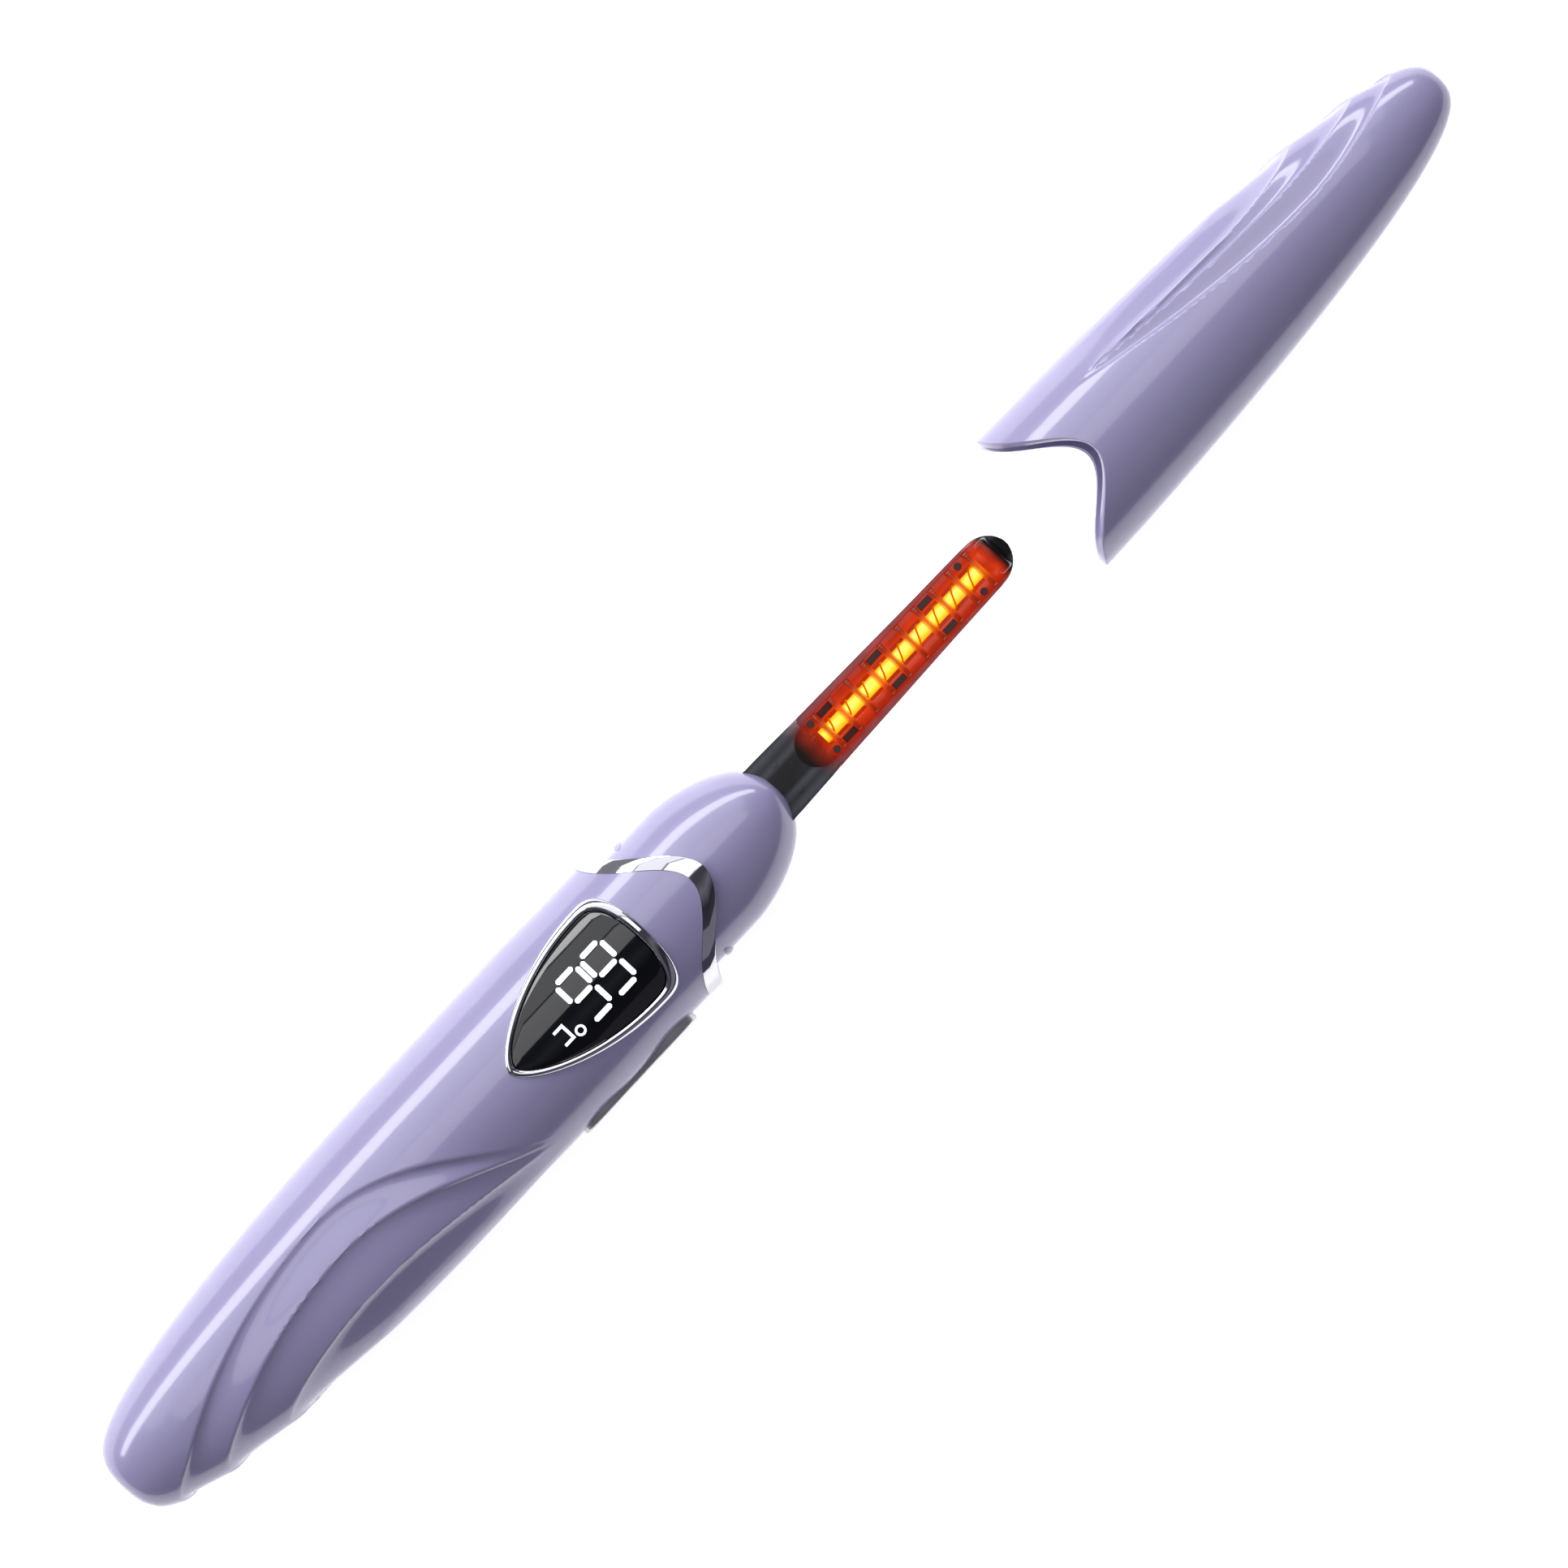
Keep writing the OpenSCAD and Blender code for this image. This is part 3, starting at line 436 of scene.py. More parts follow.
seat = CREST + 0.04
cap_heights = [CAPPED - (CAPPED - seat) * (i / 250) ** 1.3 for i in range(250, 0, -1)]
hollow_heights = (146.6, 145.6, 144, 142, 139, 135, 130, 124, 117, 110, 104, 99, 96, seat + 0.25)
cap_profile = [(0.0, 146.9)] + [(cap_half_width(v + 0.9) - CAP_WALL, v) for v in hollow_heights]
cap_profile += [(cap_half_width(seat) - CAP_WALL + 0.25, seat), (cap_half_width(seat) - 0.15, seat)]
cap_profile += [(cap_half_width(v), v + (0.12 if i == 0 else 0)) for i, v in enumerate(cap_heights)]
cap_profile += [(0.0, CAPPED - 0.001)]
cap_mesh = spun(cap_profile, 280)
for v in cap_mesh.verts:
    height = v.co.z
    radius = math.hypot(v.co.x, v.co.y)
    if radius < ON_AXIS:
        v.co.z += TRAVEL
        continue
    sine, cosine = v.co.x / radius, -v.co.y / radius
    inset = max(0.0, cap_half_width(height) - radius)
    z = height - wave_drop(abs(sine)) * max(0, 1 - (height - seat) / 40) ** 2
    edge = cap_half_width(z)
    depth = 0.0
    if inset < 0.05:
        angle = math.degrees(math.atan2(-sine, cosine))
        angle = angle + 360 if angle < PETAL_CENTRE - 180 else angle
        depth = petal_scoop(angle, z, CAP_PETALS, 95, 34, -1, 0.4)
    v.co = ((edge - inset - depth) * sine, -(edge * DEPTH_RATIO - inset - depth) * cosine, z + TRAVEL)
piece_from(cap_mesh, "cap_shell_moulded", "cap", lavender, ["cap_shell"])


# Display: a chrome-plated shield-shaped rim round a black gloss window, both bent to the handle's front. The
# lit figures are a white light guide that shows through it: two sixes and a degree C, read from the side.
FRONT = HALF_WIDTH * DEPTH_RATIO


def on_front(x, proud):
    """Depth (y) of the front face at x, standing proud of it in mm."""
    a, b = HALF_WIDTH - 0.1 + proud, FRONT - 0.08 + proud
    return -b * math.sqrt(max(0.0, 1 - (x / a) ** 2))


def shield_outline(half, top, bottom):
    """Shield outline, widest near its top and pointed towards the tail, once round."""
    height = top - bottom
    waist = top - 0.19 * height
    right = []
    for i in range(25):
        r = math.sin(math.radians(90 - 3.75 * i))
        right.append((half * (1 - r ** 3.2) ** 0.42, waist + r * 0.19 * height))
    for i in range(1, 37):
        q = math.sin(math.radians(2.5 * i))
        reach = half * math.cos(math.pi / 2 * min(q, 1)) ** 0.62 if q < 1 else 0.0
        right.append((reach, waist - q * 0.81 * height))
    return right + [(-x, z) for x, z in reversed(right[1:-1])]


def outline_face(mesh, outline):
    verts = [mesh.verts.new((x, 0, z)) for x, z in outline]
    bmesh.ops.contextual_create(mesh, geom=verts)


def lofted(loops, looped=False):
    """Extrudes one loop through the next ones, all with as many points, and closes the ends or joins them."""
    mesh = bmesh.new()
    place = mesh.verts.layers.int.new("place")
    first = [mesh.verts.new(point) for point in loops[0]]
    for i, v in enumerate(first):
        v[place] = i
    edges = [mesh.edges.new((v, first[i - 1])) for i, v in enumerate(first)]
    start = edges
    for loop in loops[1:]:
        grown = bmesh.ops.extrude_edge_only(mesh, edges=edges)["geom"]
        fresh = [g for g in grown if isinstance(g, bmesh.types.BMVert)]
        for v in fresh:
            v.co = loop[v[place]]
        edges = [g for g in grown if isinstance(g, bmesh.types.BMEdge)
                 and g.verts[0] in fresh and g.verts[1] in fresh]
    if looped:
        bmesh.ops.bridge_loops(mesh, edges=start + edges)
    else:
        bmesh.ops.contextual_create(mesh, geom=start)
        bmesh.ops.contextual_create(mesh, geom=edges)
    return mesh


def rim_loop(inward, proud):
    """The display's outline drawn in by so much and standing so much proud of the front."""
    outline = shield_outline(7.15 - inward, 84.0 - 1.1 * inward, 62.4 + inward)
    return [(x, on_front(x, proud), z) for x, z in outline]


window_cutter = bmesh.new()
outline_face(window_cutter, shield_outline(7.1, 83.95, 62.45))
dropped = bmesh.ops.extrude_face_region(window_cutter, geom=window_cutter.faces[:])
bmesh.ops.translate(window_cutter, vec=(0, -10, 0), verts=points_of(dropped))
bmesh.ops.translate(window_cutter, vec=(0, -2.5, 0), verts=window_cutter.verts)
cut_with(handle, window_cutter, "display_opening")

rim_section = ((0.0, -1.0), (0.0, 0.05), (0.07, 0.2), (0.22, 0.31), (0.42, 0.34), (0.64, 0.31), (0.84, 0.2),
               (0.98, 0.04), (1.02, -0.3), (1.02, -1.0))
bezel_mesh = lofted([rim_loop(inward, proud) for inward, proud in rim_section], looped=True)
piece_from(bezel_mesh, "display_bezel_chrome", "handle", chrome, ["display_bezel"])

# Smoked black acrylic: gloss, with a trace of dust and hard coating.
black_acrylic = blank_material("smoked_black_acrylic")
lens_coords = add(black_acrylic, "ShaderNodeTexCoord")
lens_dust = add(black_acrylic, "ShaderNodeTexNoise", {"Vector": lens_coords.outputs["Object"]},
                Scale=700.0, Detail=2.0)
lens_haze = add(black_acrylic, "ShaderNodeMapRange", {"Value": lens_dust.outputs["Fac"]},
                To_Min=0.04, To_Max=0.10)
finish_material(black_acrylic, add(black_acrylic, "ShaderNodeBsdfPrincipled",
                                   {"Roughness": lens_haze.outputs[0]}, Base_Color=linear("#0B0D11"),
                                   IOR=1.49, Coat_Weight=0.5, Coat_Roughness=0.02))
lens_loops = [rim_loop(1.04, -0.75), rim_loop(1.04, -0.12), rim_loop(1.08, -0.06)]
MIDDLE = 75
for size in (0.98, 0.9, 0.8, 0.7, 0.6, 0.5, 0.4, 0.3, 0.2, 0.1, 0.03):
    outline = shield_outline(6.06 * size, MIDDLE + 7.79 * size, MIDDLE - 11.5 * size)
    lens_loops.append([(x, on_front(x, -0.02), z) for x, z in outline])
lens_mesh = lofted(lens_loops)
piece_from(lens_mesh, "display_window", "handle", black_acrylic, ["display_lens"])

# Opal acrylic light guide, lit evenly from behind.
lit_white = blank_material("lit_white_light_guide")
guide_coords = add(lit_white, "ShaderNodeTexCoord")
guide_cloud = add(lit_white, "ShaderNodeTexNoise", {"Vector": guide_coords.outputs["Object"]}, Scale=500.0)
guide_ramp = add(lit_white, "ShaderNodeMapRange", {"Value": guide_cloud.outputs["Fac"]},
                 To_Min=0.9, To_Max=1.15)
finish_material(lit_white, add(lit_white, "ShaderNodeBsdfPrincipled",
                               {"Emission Strength": guide_ramp.outputs[0]}, Base_Color=linear("#E6ECF2"),
                               Roughness=0.4, Emission_Color=linear("#F4F9FF")))
digit_mesh = bmesh.new()


def lit_bar(x, z, wide, tall):
    """One bar of a figure: a chamfered strip, wide across the pen and tall along it."""
    end = 0.2
    w, h = wide / 2, tall / 2
    outline_face(digit_mesh, [(x + px, z + pz) for px, pz in (
        (-w + end, -h), (w - end, -h), (w, -h + end), (w, h - end),
        (w - end, h), (-w + end, h), (-w, h - end), (-w, -h + end))])


STROKE, LONG_BAR, CROSS_BAR = 0.62, 2.3, 2.5
for top in (80.06, 76.17):
    for across in (-1, 0, 1):
        lit_bar(across * 2.9, top - 1.88, STROKE, CROSS_BAR)
    for x, drop in ((-1.45, 0.32), (1.45, 0.32), (-1.45, 3.44)):
        lit_bar(x, top - drop, LONG_BAR, STROKE)
for x, z, wide, tall in ((1.5, 70.14, 2.15, 0.34), (0.6, 69.5, 0.34, 1.3), (2.4, 69.5, 0.34, 1.3)):
    w, h = wide / 2, tall / 2
    outline_face(digit_mesh, [(x + px, z + pz) for px, pz in ((-w, -h), (w, -h), (w, h), (-w, h))])
RING_SIDES = 32
bmesh.ops.create_circle(digit_mesh, cap_ends=True, segments=RING_SIDES, radius=0.64,
                        matrix=Matrix.Translation((2.43, 0, 71.2)) @ Matrix.Rotation(math.pi / 2, 4, "X"))
disc = [f for f in digit_mesh.faces if len(f.verts) == RING_SIDES]
bmesh.ops.inset_region(digit_mesh, faces=disc, thickness=0.27, use_boundary=True, use_even_offset=True)
hole = [f for f in digit_mesh.faces if len(f.verts) == RING_SIDES]
bmesh.ops.delete(digit_mesh, geom=hole, context="FACES")
long_edges = [e for e in digit_mesh.edges if e.calc_length() > 0.9]
bmesh.ops.subdivide_edges(digit_mesh, edges=long_edges, cuts=4, use_grid_fill=True)
bmesh.ops.recalc_face_normals(digit_mesh, faces=digit_mesh.faces)
raised = bmesh.ops.extrude_face_region(digit_mesh, geom=digit_mesh.faces[:])
for v in points_of(raised):
    v.co.y = 0.085
for v in digit_mesh.verts:
    v.co.y = on_front(v.co.x, v.co.y if v.co.y > 0.01 else -0.3)
piece_from(digit_mesh, "display_figures", "handle", lit_white, ["display_digits"])


# Rocker: a figure-eight key of ABS with a satin nickel-like plating, standing a little proud in the handle's
# right side. A plus and a minus are cut into its two lobes.
def satin_plate(name):
    """Satin plating over ABS: bright, with a very fine grain that blurs what it reflects."""
    material = blank_material(name)
    coords = add(material, "ShaderNodeTexCoord")
    grain = add(material, "ShaderNodeTexNoise", {"Vector": coords.outputs["Object"]},
                Scale=2600.0, Detail=3.0)
    bump = add(material, "ShaderNodeBump", {"Height": grain.outputs["Fac"]}, Strength=0.08, Distance=0.00005)
    haze = add(material, "ShaderNodeMapRange", {"Value": grain.outputs["Fac"]}, To_Min=0.28, To_Max=0.42)
    links = {"Normal": bump.outputs["Normal"], "Roughness": haze.outputs[0]}
    shader = add(material, "ShaderNodeBsdfPrincipled", links, Base_Color=linear("#D9D9DB"), Metallic=0.85)
    return finish_material(material, shader)


satin = satin_plate("satin_plated_abs")
rocker_mesh = bmesh.new()
for y, z in eight_outline(0):
    rocker_mesh.verts.new((7.9, y, z))
bmesh.ops.remove_doubles(rocker_mesh, verts=rocker_mesh.verts, dist=1e-4)
bmesh.ops.contextual_create(rocker_mesh, geom=rocker_mesh.verts[:])


def top_of_key():
    return max(rocker_mesh.faces, key=lambda f: f.calc_center_median().x if len(f.verts) > 20 else -1)


grown = bmesh.ops.extrude_face_region(rocker_mesh, geom=[top_of_key()])
for v in points_of(grown):
    v.co.x = 10.6
for width, out in ((0.06, 10.74), (0.12, 10.82), (0.18, 10.84), (0.3, 10.86)):
    bmesh.ops.inset_region(rocker_mesh, faces=[top_of_key()], thickness=width, use_even_offset=True)
    for v in top_of_key().verts:
        v.co.x = out
rocker = piece_from(rocker_mesh, "rocker_key", "rocker", satin, ["rocker_button"])


# The marks: minus at the tail end, plus at the head end, as grooves with rounded edges.
SHORT, LONG, LOBE = 0.34, 2.2, 5.3
for number, (z, tall, wide) in enumerate(((-LOBE, SHORT, LONG), (LOBE, SHORT, LONG), (LOBE, LONG, SHORT))):
    bar = bmesh.new()
    place = Matrix.Translation((10.95, 0, ROCKER_HEIGHT + z)) @ Matrix.Diagonal((0.5, wide, tall, 1))
    bmesh.ops.create_cube(bar, size=1, matrix=place)
    round_edges(bar, bar.edges[:], 0.12, 2)
    cut_with(rocker, bar, f"mark_{number}")


# Comb back: a bent, smoked polycarbonate blade with a deep channel on its inner side, a rounded solid tip and
# a straight stem that goes down into the dome. The heater's red light shining through its upper part is
# painted on as emission.
ARC_Y, ARC_Z, ARC_FRONT, ARC_BACK = -38.75, 128.3, 40.15, 43.0
ARC_MIDDLE = 41.5
RIB_PITCH = 2.75


def rib_angle(i):
    """Angle on the comb's arc of rib i, counted from the handle."""
    return math.asin((112.9 - ARC_Z) / ARC_MIDDLE) + i * RIB_PITCH / ARC_FRONT


def on_arc(radius, angle):
    return ARC_Y + radius * math.cos(angle), ARC_Z + radius * math.sin(angle)


def smoked_plastic_painted_glow(name, tones, painted_glow_colours, painted_glow_strength, shine):
    """Smoked polycarbonate with a painted glow: the heater's red light through it is emission, brightest over
    the heater, dying out down the stem.
    """
    material = blank_material(name)
    coords = add(material, "ShaderNodeTexCoord")
    split = add(material, "ShaderNodeSeparateXYZ", {"Vector": coords.outputs["Object"]})
    off_axis = add(material, "ShaderNodeMath", {0: split.outputs[0]}, operation="ABSOLUTE")
    across = add(material, "ShaderNodeMapRange", {"Value": off_axis.outputs[0]}, From_Max=0.004)
    # Painted glow: emission colour and strength stand in for the heater's light coming through the plastic.
    glow = add(material, "ShaderNodeValToRGB", {"Fac": across.outputs[0]})
    set_stops(glow, painted_glow_colours)
    body = add(material, "ShaderNodeValToRGB", {"Fac": across.outputs[0]})
    set_stops(body, tones)
    start = add(material, "ShaderNodeMapRange", {"Value": split.outputs[1]}, interpolation_type="SMOOTHSTEP",
                From_Min=0.0036, From_Max=0.0078)
    end = add(material, "ShaderNodeMapRange", {"Value": split.outputs[1]}, interpolation_type="SMOOTHSTEP",
              From_Min=0.0345, From_Max=0.0332)
    cloud = add(material, "ShaderNodeTexNoise", {"Vector": coords.outputs["Object"]}, Scale=420.0, Detail=3.0)
    patchy = add(material, "ShaderNodeMapRange", {"Value": cloud.outputs["Fac"]}, From_Min=0.3, From_Max=0.7,
                 To_Min=0.78 * painted_glow_strength, To_Max=1.15 * painted_glow_strength)
    first = add(material, "ShaderNodeMath", {0: start.outputs[0], 1: end.outputs[0]}, operation="MULTIPLY")
    power = add(material, "ShaderNodeMath", {0: first.outputs[0], 1: patchy.outputs[0]}, operation="MULTIPLY")
    haze = add(material, "ShaderNodeMapRange", {"Value": cloud.outputs["Fac"]}, To_Min=0.1, To_Max=0.22)
    links = {"Base Color": body.outputs["Color"], "Emission Color": glow.outputs["Color"],
             "Roughness": haze.outputs[0], "Emission Strength": power.outputs[0]}
    shader = add(material, "ShaderNodeBsdfPrincipled", links, IOR=1.58, Specular_IOR_Level=shine)
    return finish_material(material, shader)


STEM_TONES = [(0.0, "#161618"), (1.0, "#222226"), (0.28, "#19191C"), (0.42, "#47484E"), (0.6, "#2B2B30"),
              (0.8, "#4A4B52")]
# The back's painted glow: deep red over the heater, darker red towards its edges.
smoked = smoked_plastic_painted_glow("smoked_polycarbonate_back_painted_glow", STEM_TONES,
                        [(0.0, "#C4300A"), (1.0, "#4A0D05"), (0.45, "#AE2408"), (0.75, "#8C1B07")], 0.95, 0.5)


TIP_FROM, TIP_HALF, TIP = 138.4, 3.0, 141.8


def blade_half(v):
    """Half the blade's width at a height; its tip is a half-ellipse."""
    widths = [(96, 3.8), (104.8, 3.8), (113, 3.55), (120, 3.4), (130, 3.15), (TIP_FROM, TIP_HALF)]
    if v > TIP_FROM:
        return TIP_HALF * math.sqrt(max(0.02, 1 - ((v - TIP_FROM) / 3.4) ** 2))
    for (v0, w0), (v1, w1) in zip(widths, widths[1:]):
        if v <= v1:
            return w0 + (w1 - w0) * (v - v0) / (v1 - v0)


STEM_TOP = 111.6


def blade_depths(v):
    """Front and back (y) of the blade at a height."""
    rise = v - ARC_Z
    front = ARC_Y + math.sqrt(ARC_FRONT ** 2 - rise ** 2)
    back = ARC_Y + math.sqrt(ARC_BACK ** 2 - rise ** 2)
    if v < STEM_TOP:
        return -2.42 + 0.1 * smooth((v - 108) / 3.6), 2.55
    return front, max(2.55, back) if v < 116.6 else back


back_mesh = bmesh.new()
# Corners of the blade's section: across and back from -1 to 1, then 1 if it lies on the channel's floor.
section = [(-1, 1, 0), (1, 1, 0), (1, -1, 0), (0.8, -1, 0),
           (0.75, -1, 1), (-0.75, -1, 1), (-0.8, -1, 0), (-1, -1, 0)]
CHANNEL_DEPTH = 2.1
mark = back_mesh.verts.layers.int.new("corner")
level = back_mesh.verts.layers.int.new("level")
loop = [back_mesh.verts.new((x, y, 0)) for x, y, pocket in section]
for i, v in enumerate(loop):
    v[mark] = i
bmesh.ops.contextual_create(back_mesh, geom=loop)
heights = [97 + 1.2 * i for i in range(12)] + [111.55, 111.65, 112.0] + [112.6 + 0.7 * i for i in range(39)]
heights += [139.6, 140.0, 140.05, 140.4, 140.8, 141.2, 141.5, 141.7, 141.78]
face = back_mesh.faces[:]
for number in range(1, len(heights)):
    grown = bmesh.ops.extrude_face_region(back_mesh, geom=face)
    for v in points_of(grown):
        v[level] = number
    if number > 1:
        bmesh.ops.delete(back_mesh, geom=face, context="FACES_ONLY")
    face = [g for g in grown["geom"] if isinstance(g, bmesh.types.BMFace)]
for v in back_mesh.verts:
    x, y, pocket = section[v[mark]]
    z = heights[v[level]]
    half = blade_half(z)
    front, back = blade_depths(z)
    if v[mark] in (3, 6):
        across = math.copysign(min(2.66, half - 0.12), x)
    elif v[mark] in (4, 5):
        across = math.copysign(min(2.62, half - 0.2), x)
    else:
        across = x * half
    floor = front + CHANNEL_DEPTH if pocket and STEM_TOP < z < 140.02 else front
    v.co = (across, back if y > 0 else floor, z)
OUTER_CORNERS = (0, 1, 2, 7)
rims = [e for e in back_mesh.edges
        if e.verts[0][mark] == e.verts[1][mark] and e.verts[0][mark] in OUTER_CORNERS]
round_edges(back_mesh, rims, 0.45, 4)
for x in (-2.0, 2.0):
    bmesh.ops.create_cone(back_mesh, cap_ends=True, segments=24, radius1=0.42, radius2=0.38, depth=0.16,
                          matrix=Matrix.Translation((x, -2.44, 106.6)) @ Matrix.Rotation(math.pi / 2, 4, "X"))
piece_from(back_mesh, "comb_blade", "handle", smoked, ["comb_back"])


# Comb face: a thinner window frame of the same smoked plastic let into the channel, with ten cross ribs like
# short teeth that part and lift the lashes, and a low lip at its tip that keeps skin off the heater.
DARK_TONES = [(0.0, "#1A1010"), (1.0, "#140C0C")]
# Both carry the heater's light painted on as emission: the frame red, the ribs orange where they cross the
# heater and dark red at their ends.
face_plastic_painted_glow = smoked_plastic_painted_glow("smoked_polycarbonate_face_painted_glow", DARK_TONES,
                              [(0.0, "#C22C0A"), (1.0, "#6E1205"), (0.3, "#D8380C"), (0.6, "#B02407")],
                              1.0, 0.2)
rib_plastic_painted_glow = smoked_plastic_painted_glow("smoked_polycarbonate_ribs_painted_glow", DARK_TONES,
                             [(0.0, "#EE7A14"), (1.0, "#5A0E04"), (0.2, "#E05A10"), (0.36, "#AA2C08"),
                              (0.65, "#7A1805")], 1.0, 0.2)


def join(whole, part):
    """Adds one finished closed shape to a piece made of several."""
    carrier = bpy.data.meshes.new("carrier")
    part.to_mesh(carrier)
    part.free()
    whole.from_mesh(carrier)
    bpy.data.meshes.remove(carrier)


def soften(part, offset, segments, least=0.6):
    """Rounds every edge that turns by more than least radians."""
    hard = [e for e in part.edges if len(e.link_faces) == 2 and e.calc_face_angle(0) > least]
    round_edges(part, hard, offset, segments)


def arc_bar(whole, x, radius, angle, soft, cuts=0, segments=3):
    """A soft-edged bar bent along the comb: x, radius and angle are (from, to) pairs."""
    centre = [(pair[0] + pair[1]) / 2 for pair in (x, radius, angle)]
    size = (x[1] - x[0], radius[1] - radius[0], (angle[1] - angle[0]) * ARC_MIDDLE)
    part = bmesh.new()
    bmesh.ops.create_cube(part, size=1, matrix=Matrix.Diagonal((*size, 1)))
    if cuts:
        along = [e for e in part.edges if abs(e.verts[0].co.z - e.verts[1].co.z) > size[2] / 2]
        bmesh.ops.subdivide_edges(part, edges=along, cuts=cuts, use_grid_fill=True)
    soften(part, soft, segments)
    for v in part.verts:
        y, z = on_arc(centre[1] + v.co.y, centre[2] + v.co.z / ARC_MIDDLE)
        v.co = (centre[0] + v.co.x, y, z)
    join(whole, part)


face_low = math.asin((111.4 - ARC_Z) / ARC_FRONT) + 0.006
tip_angle = math.asin((TIP - ARC_Z) / ARC_FRONT)
face_high = tip_angle - 0.046
RIB_COUNT = 10
window_low, window_high = rib_angle(0) - 0.0244, rib_angle(RIB_COUNT - 1) + 0.0035
face_mesh = bmesh.new()
for side in (-1, 1):
    arc_bar(face_mesh, sorted((side * 1.3, side * 2.58)), (40.15, 40.7), (face_low, face_high), 0.12, 40)
arc_bar(face_mesh, (-1.4, 1.4), (40.16, 40.69), (face_low + 0.001, window_low), 0.1, 3)
arc_bar(face_mesh, (-0.8, 0.8), (39.85, 40.3), (face_low - 0.012, window_low - 0.012), 0.12)
arc_bar(face_mesh, (-1.4, 1.4), (40.16, 40.69), (window_high, face_high - 0.001), 0.1, 3)
lip_top = tip_angle - 0.028
arc_bar(face_mesh, (-2.25, 2.25), (38.3, 40.3), (lip_top - 0.04, lip_top), 0.5, 0, 5)
FACE_FOOT = 111.5
half_round = bmesh.new()
foot_place = Matrix.Translation((0, -2.38, FACE_FOOT)) @ Matrix.Rotation(-math.pi / 2, 4, "X")
bmesh.ops.create_cone(half_round, cap_ends=True, segments=64, radius1=2.5, radius2=2.58, depth=0.3,
                      matrix=foot_place)
cut = bmesh.ops.bisect_plane(half_round, geom=half_round.verts[:] + half_round.edges[:] + half_round.faces[:],
                             plane_co=(0, 0, FACE_FOOT), plane_no=(0, 0, 1), clear_outer=True)
cut_edges = [g for g in cut["geom_cut"] if isinstance(g, bmesh.types.BMEdge)]
bmesh.ops.contextual_create(half_round, geom=cut_edges)
join(face_mesh, half_round)
ribs_from = len(face_mesh.faces)
for i in range(RIB_COUNT):
    y, z = on_arc(ARC_FRONT, rib_angle(i))
    rib = bmesh.new()
    bmesh.ops.create_cube(rib, size=1, matrix=Matrix.Diagonal((5.2, 1.66, 0.84, 1)))
    for v in rib.verts:
        if v.co.y < 0:
            v.co = (v.co.x * 0.9, v.co.y, v.co.z * 0.34)
    ends = [e for e in rib.edges if max(v.co.y for v in e.verts) < 0
            and abs(e.verts[0].co.z - e.verts[1].co.z) > 0.1]
    round_edges(rib, ends, 0.55, 5)
    soften(rib, 0.08, 2)
    bmesh.ops.translate(rib, vec=(0, y - 0.67, z), verts=rib.verts)
    join(face_mesh, rib)
face_mesh.faces.ensure_lookup_table()
for f in face_mesh.faces[ribs_from:]:
    f.material_index = 1
comb_face = piece_from(face_mesh, "comb_window_and_ribs", "handle", face_plastic_painted_glow, ["comb_face"])
comb_face.data.materials.append(rib_plastic_painted_glow)


# Heater: a ceramic rod bent to the comb's arc behind the ribs, glowing yellow when on, with a resistance wire
# wound round it. The wire, its clips and the locating pegs keep the shapes of the engineering model.
# Alumina ceramic at working heat, yellow along its middle and deeper orange at its edges.
glowing_ceramic = blank_material("glowing_ceramic")
rod_coords = add(glowing_ceramic, "ShaderNodeTexCoord")
rod_split = add(glowing_ceramic, "ShaderNodeSeparateXYZ", {"Vector": rod_coords.outputs["Object"]})
rod_off = add(glowing_ceramic, "ShaderNodeMath", {0: rod_split.outputs[0]}, operation="ABSOLUTE")
rod_across = add(glowing_ceramic, "ShaderNodeMapRange", {"Value": rod_off.outputs[0]}, From_Max=0.00095)
rod_cloud = add(glowing_ceramic, "ShaderNodeTexNoise", {"Vector": rod_coords.outputs["Object"]}, Scale=300.0)
rod_power = add(glowing_ceramic, "ShaderNodeMapRange", {"Value": rod_cloud.outputs["Fac"]},
                To_Min=0.8, To_Max=1.3)
rod_ramp = add(glowing_ceramic, "ShaderNodeValToRGB", {"Fac": rod_across.outputs[0]})
set_stops(rod_ramp, [(0.0, "#FFE03A"), (1.0, "#FF8400"), (0.7, "#FFC20A")])
rod_links = {"Emission Color": rod_ramp.outputs["Color"], "Emission Strength": rod_power.outputs[0]}
finish_material(glowing_ceramic, add(glowing_ceramic, "ShaderNodeBsdfPrincipled", rod_links,
                                     Base_Color=linear("#E8C070"), Roughness=0.35))
rod_mesh = bmesh.new()
ROD_RADIUS, ROD_ARC, END_GAP = 0.85, 41.25, 0.002
bmesh.ops.create_circle(rod_mesh, cap_ends=True, segments=40, radius=ROD_RADIUS,
                        matrix=Matrix.Translation((0, ARC_Y + ROD_ARC, ARC_Z)))
bmesh.ops.rotate(rod_mesh, cent=(0, ARC_Y, ARC_Z), matrix=Matrix.Rotation(window_low + END_GAP, 3, "X"),
                 verts=rod_mesh.verts)
bmesh.ops.spin(rod_mesh, geom=rod_mesh.verts[:] + rod_mesh.edges[:] + rod_mesh.faces[:], axis=(1, 0, 0),
               cent=(0, ARC_Y, ARC_Z), steps=48, angle=window_high - window_low - 2 * END_GAP)
bmesh.ops.recalc_face_normals(rod_mesh, faces=rod_mesh.faces)
piece_from(rod_mesh, "heater_rod", "handle", glowing_ceramic, ["heater_core"])


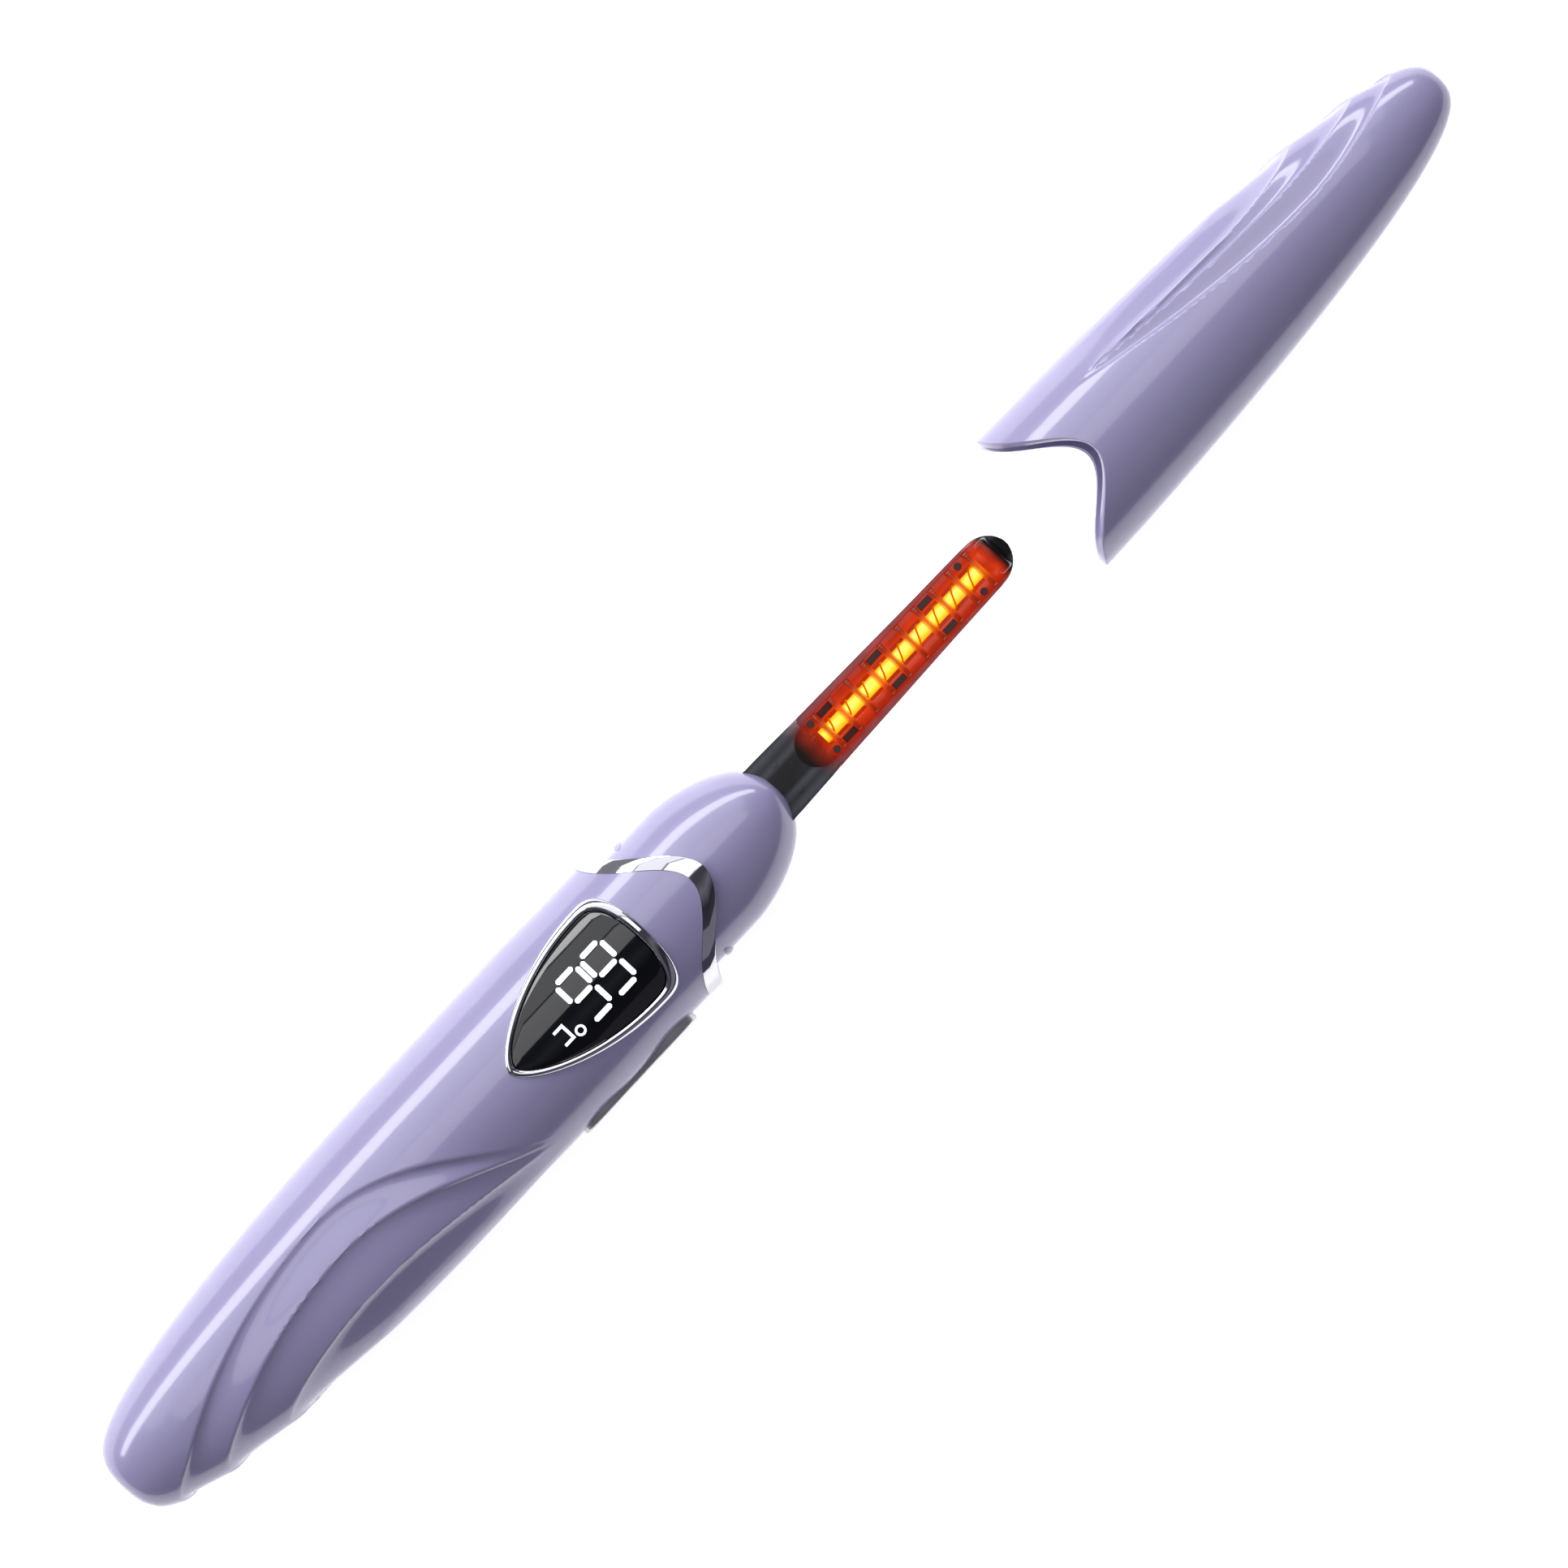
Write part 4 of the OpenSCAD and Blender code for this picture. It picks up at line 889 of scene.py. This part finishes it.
def plain_stuff(name, colour, rough, metal=0.0, grain=900.0, depth=0.00004, glow=None, power=0.0):
    """Small hidden parts: an even colour with fine grain in the surface and uneven sheen."""
    material = blank_material(name)
    coords = add(material, "ShaderNodeTexCoord")
    noise = add(material, "ShaderNodeTexNoise", {"Vector": coords.outputs["Object"]}, Scale=grain, Detail=3.0)
    bump = add(material, "ShaderNodeBump", {"Height": noise.outputs["Fac"]}, Strength=0.25, Distance=depth)
    sheen = add(material, "ShaderNodeMapRange", {"Value": noise.outputs["Fac"]},
                To_Min=rough * 0.75, To_Max=rough * 1.25)
    links = {"Normal": bump.outputs["Normal"], "Roughness": sheen.outputs[0]}
    shader = add(material, "ShaderNodeBsdfPrincipled", links, Base_Color=linear(colour), Metallic=metal)
    if glow:
        shader.inputs["Emission Color"].default_value = linear(glow)
        shader.inputs["Emission Strength"].default_value = power
    return finish_material(material, shader)


def dress(name, material):
    """Gives a piece that keeps its engineering shape the look of its material."""
    nodes[name].data.materials.clear()
    nodes[name].data.materials.append(material)


# Resistance wire at working heat; dark heat-proof posts and pegs, with a little of the heater's glow painted
# on them as emission;
# a glass bead thermistor on its leg, its glow painted on as emission too; silicone-covered heater leads.
dress("heater_coil", plain_stuff("hot_resistance_wire", "#7A3A12", 0.4, 0.8, glow="#D06400", power=0.85))
clip_painted_glow = plain_stuff("dark_heatproof_plastic_painted_glow", "#140D0C", 0.45, glow="#4A0C04", power=0.5)
dress("heater_clips", clip_painted_glow)
dress("comb_pins", clip_painted_glow)
dress("thermistor", plain_stuff("glass_bead_thermistor_painted_glow", "#8A4A1E", 0.2, glow="#7A2206", power=0.6))
dress("heater_leads", plain_stuff("red_silicone_lead", "#A02A22", 0.55))


# Works inside the handle: glass-filled nylon chassis, three green circuit boards with black parts, tact
# switches with cream plungers, a wrapped lithium cell on a foam pad, covered leads, a steel socket and screws.
dress("chassis", plain_stuff("glass_filled_nylon", "#CFCEC8", 0.6, grain=500.0, depth=0.00008))
circuit_green = plain_stuff("green_circuit_board", "#17563A", 0.4, grain=1400.0)
for board in ("main_board", "display_board", "port_board"):
    dress(board, circuit_green)
dress("board_parts", plain_stuff("black_epoxy_chips", "#1B1B1D", 0.5))
dress("switch_bodies", plain_stuff("black_switch_plastic", "#19191B", 0.5))
cream = plain_stuff("cream_acetal", "#E4DFC9", 0.4)
dress("switch_plunger_upper", cream)
dress("switch_plunger_lower", cream)
dress("battery", plain_stuff("blue_cell_wrap", "#4C78B4", 0.3, grain=260.0, depth=0.0001))
dress("battery_pad", plain_stuff("grey_foam_tape", "#4A4A4D", 0.95, grain=1800.0, depth=0.0003))
dress("battery_leads", plain_stuff("red_pvc_lead", "#B0221C", 0.45))
dress("port_leads", plain_stuff("black_pvc_lead", "#1D1D20", 0.45))
steel = plain_stuff("drawn_steel", "#B9BBBF", 0.25, 1.0, grain=2200.0)
for part in ("usb_port", "rocker_pin", "head_screws", "chassis_screws"):
    dress(part, steel)
dress("port_tongue", plain_stuff("black_port_tongue", "#161618", 0.5))
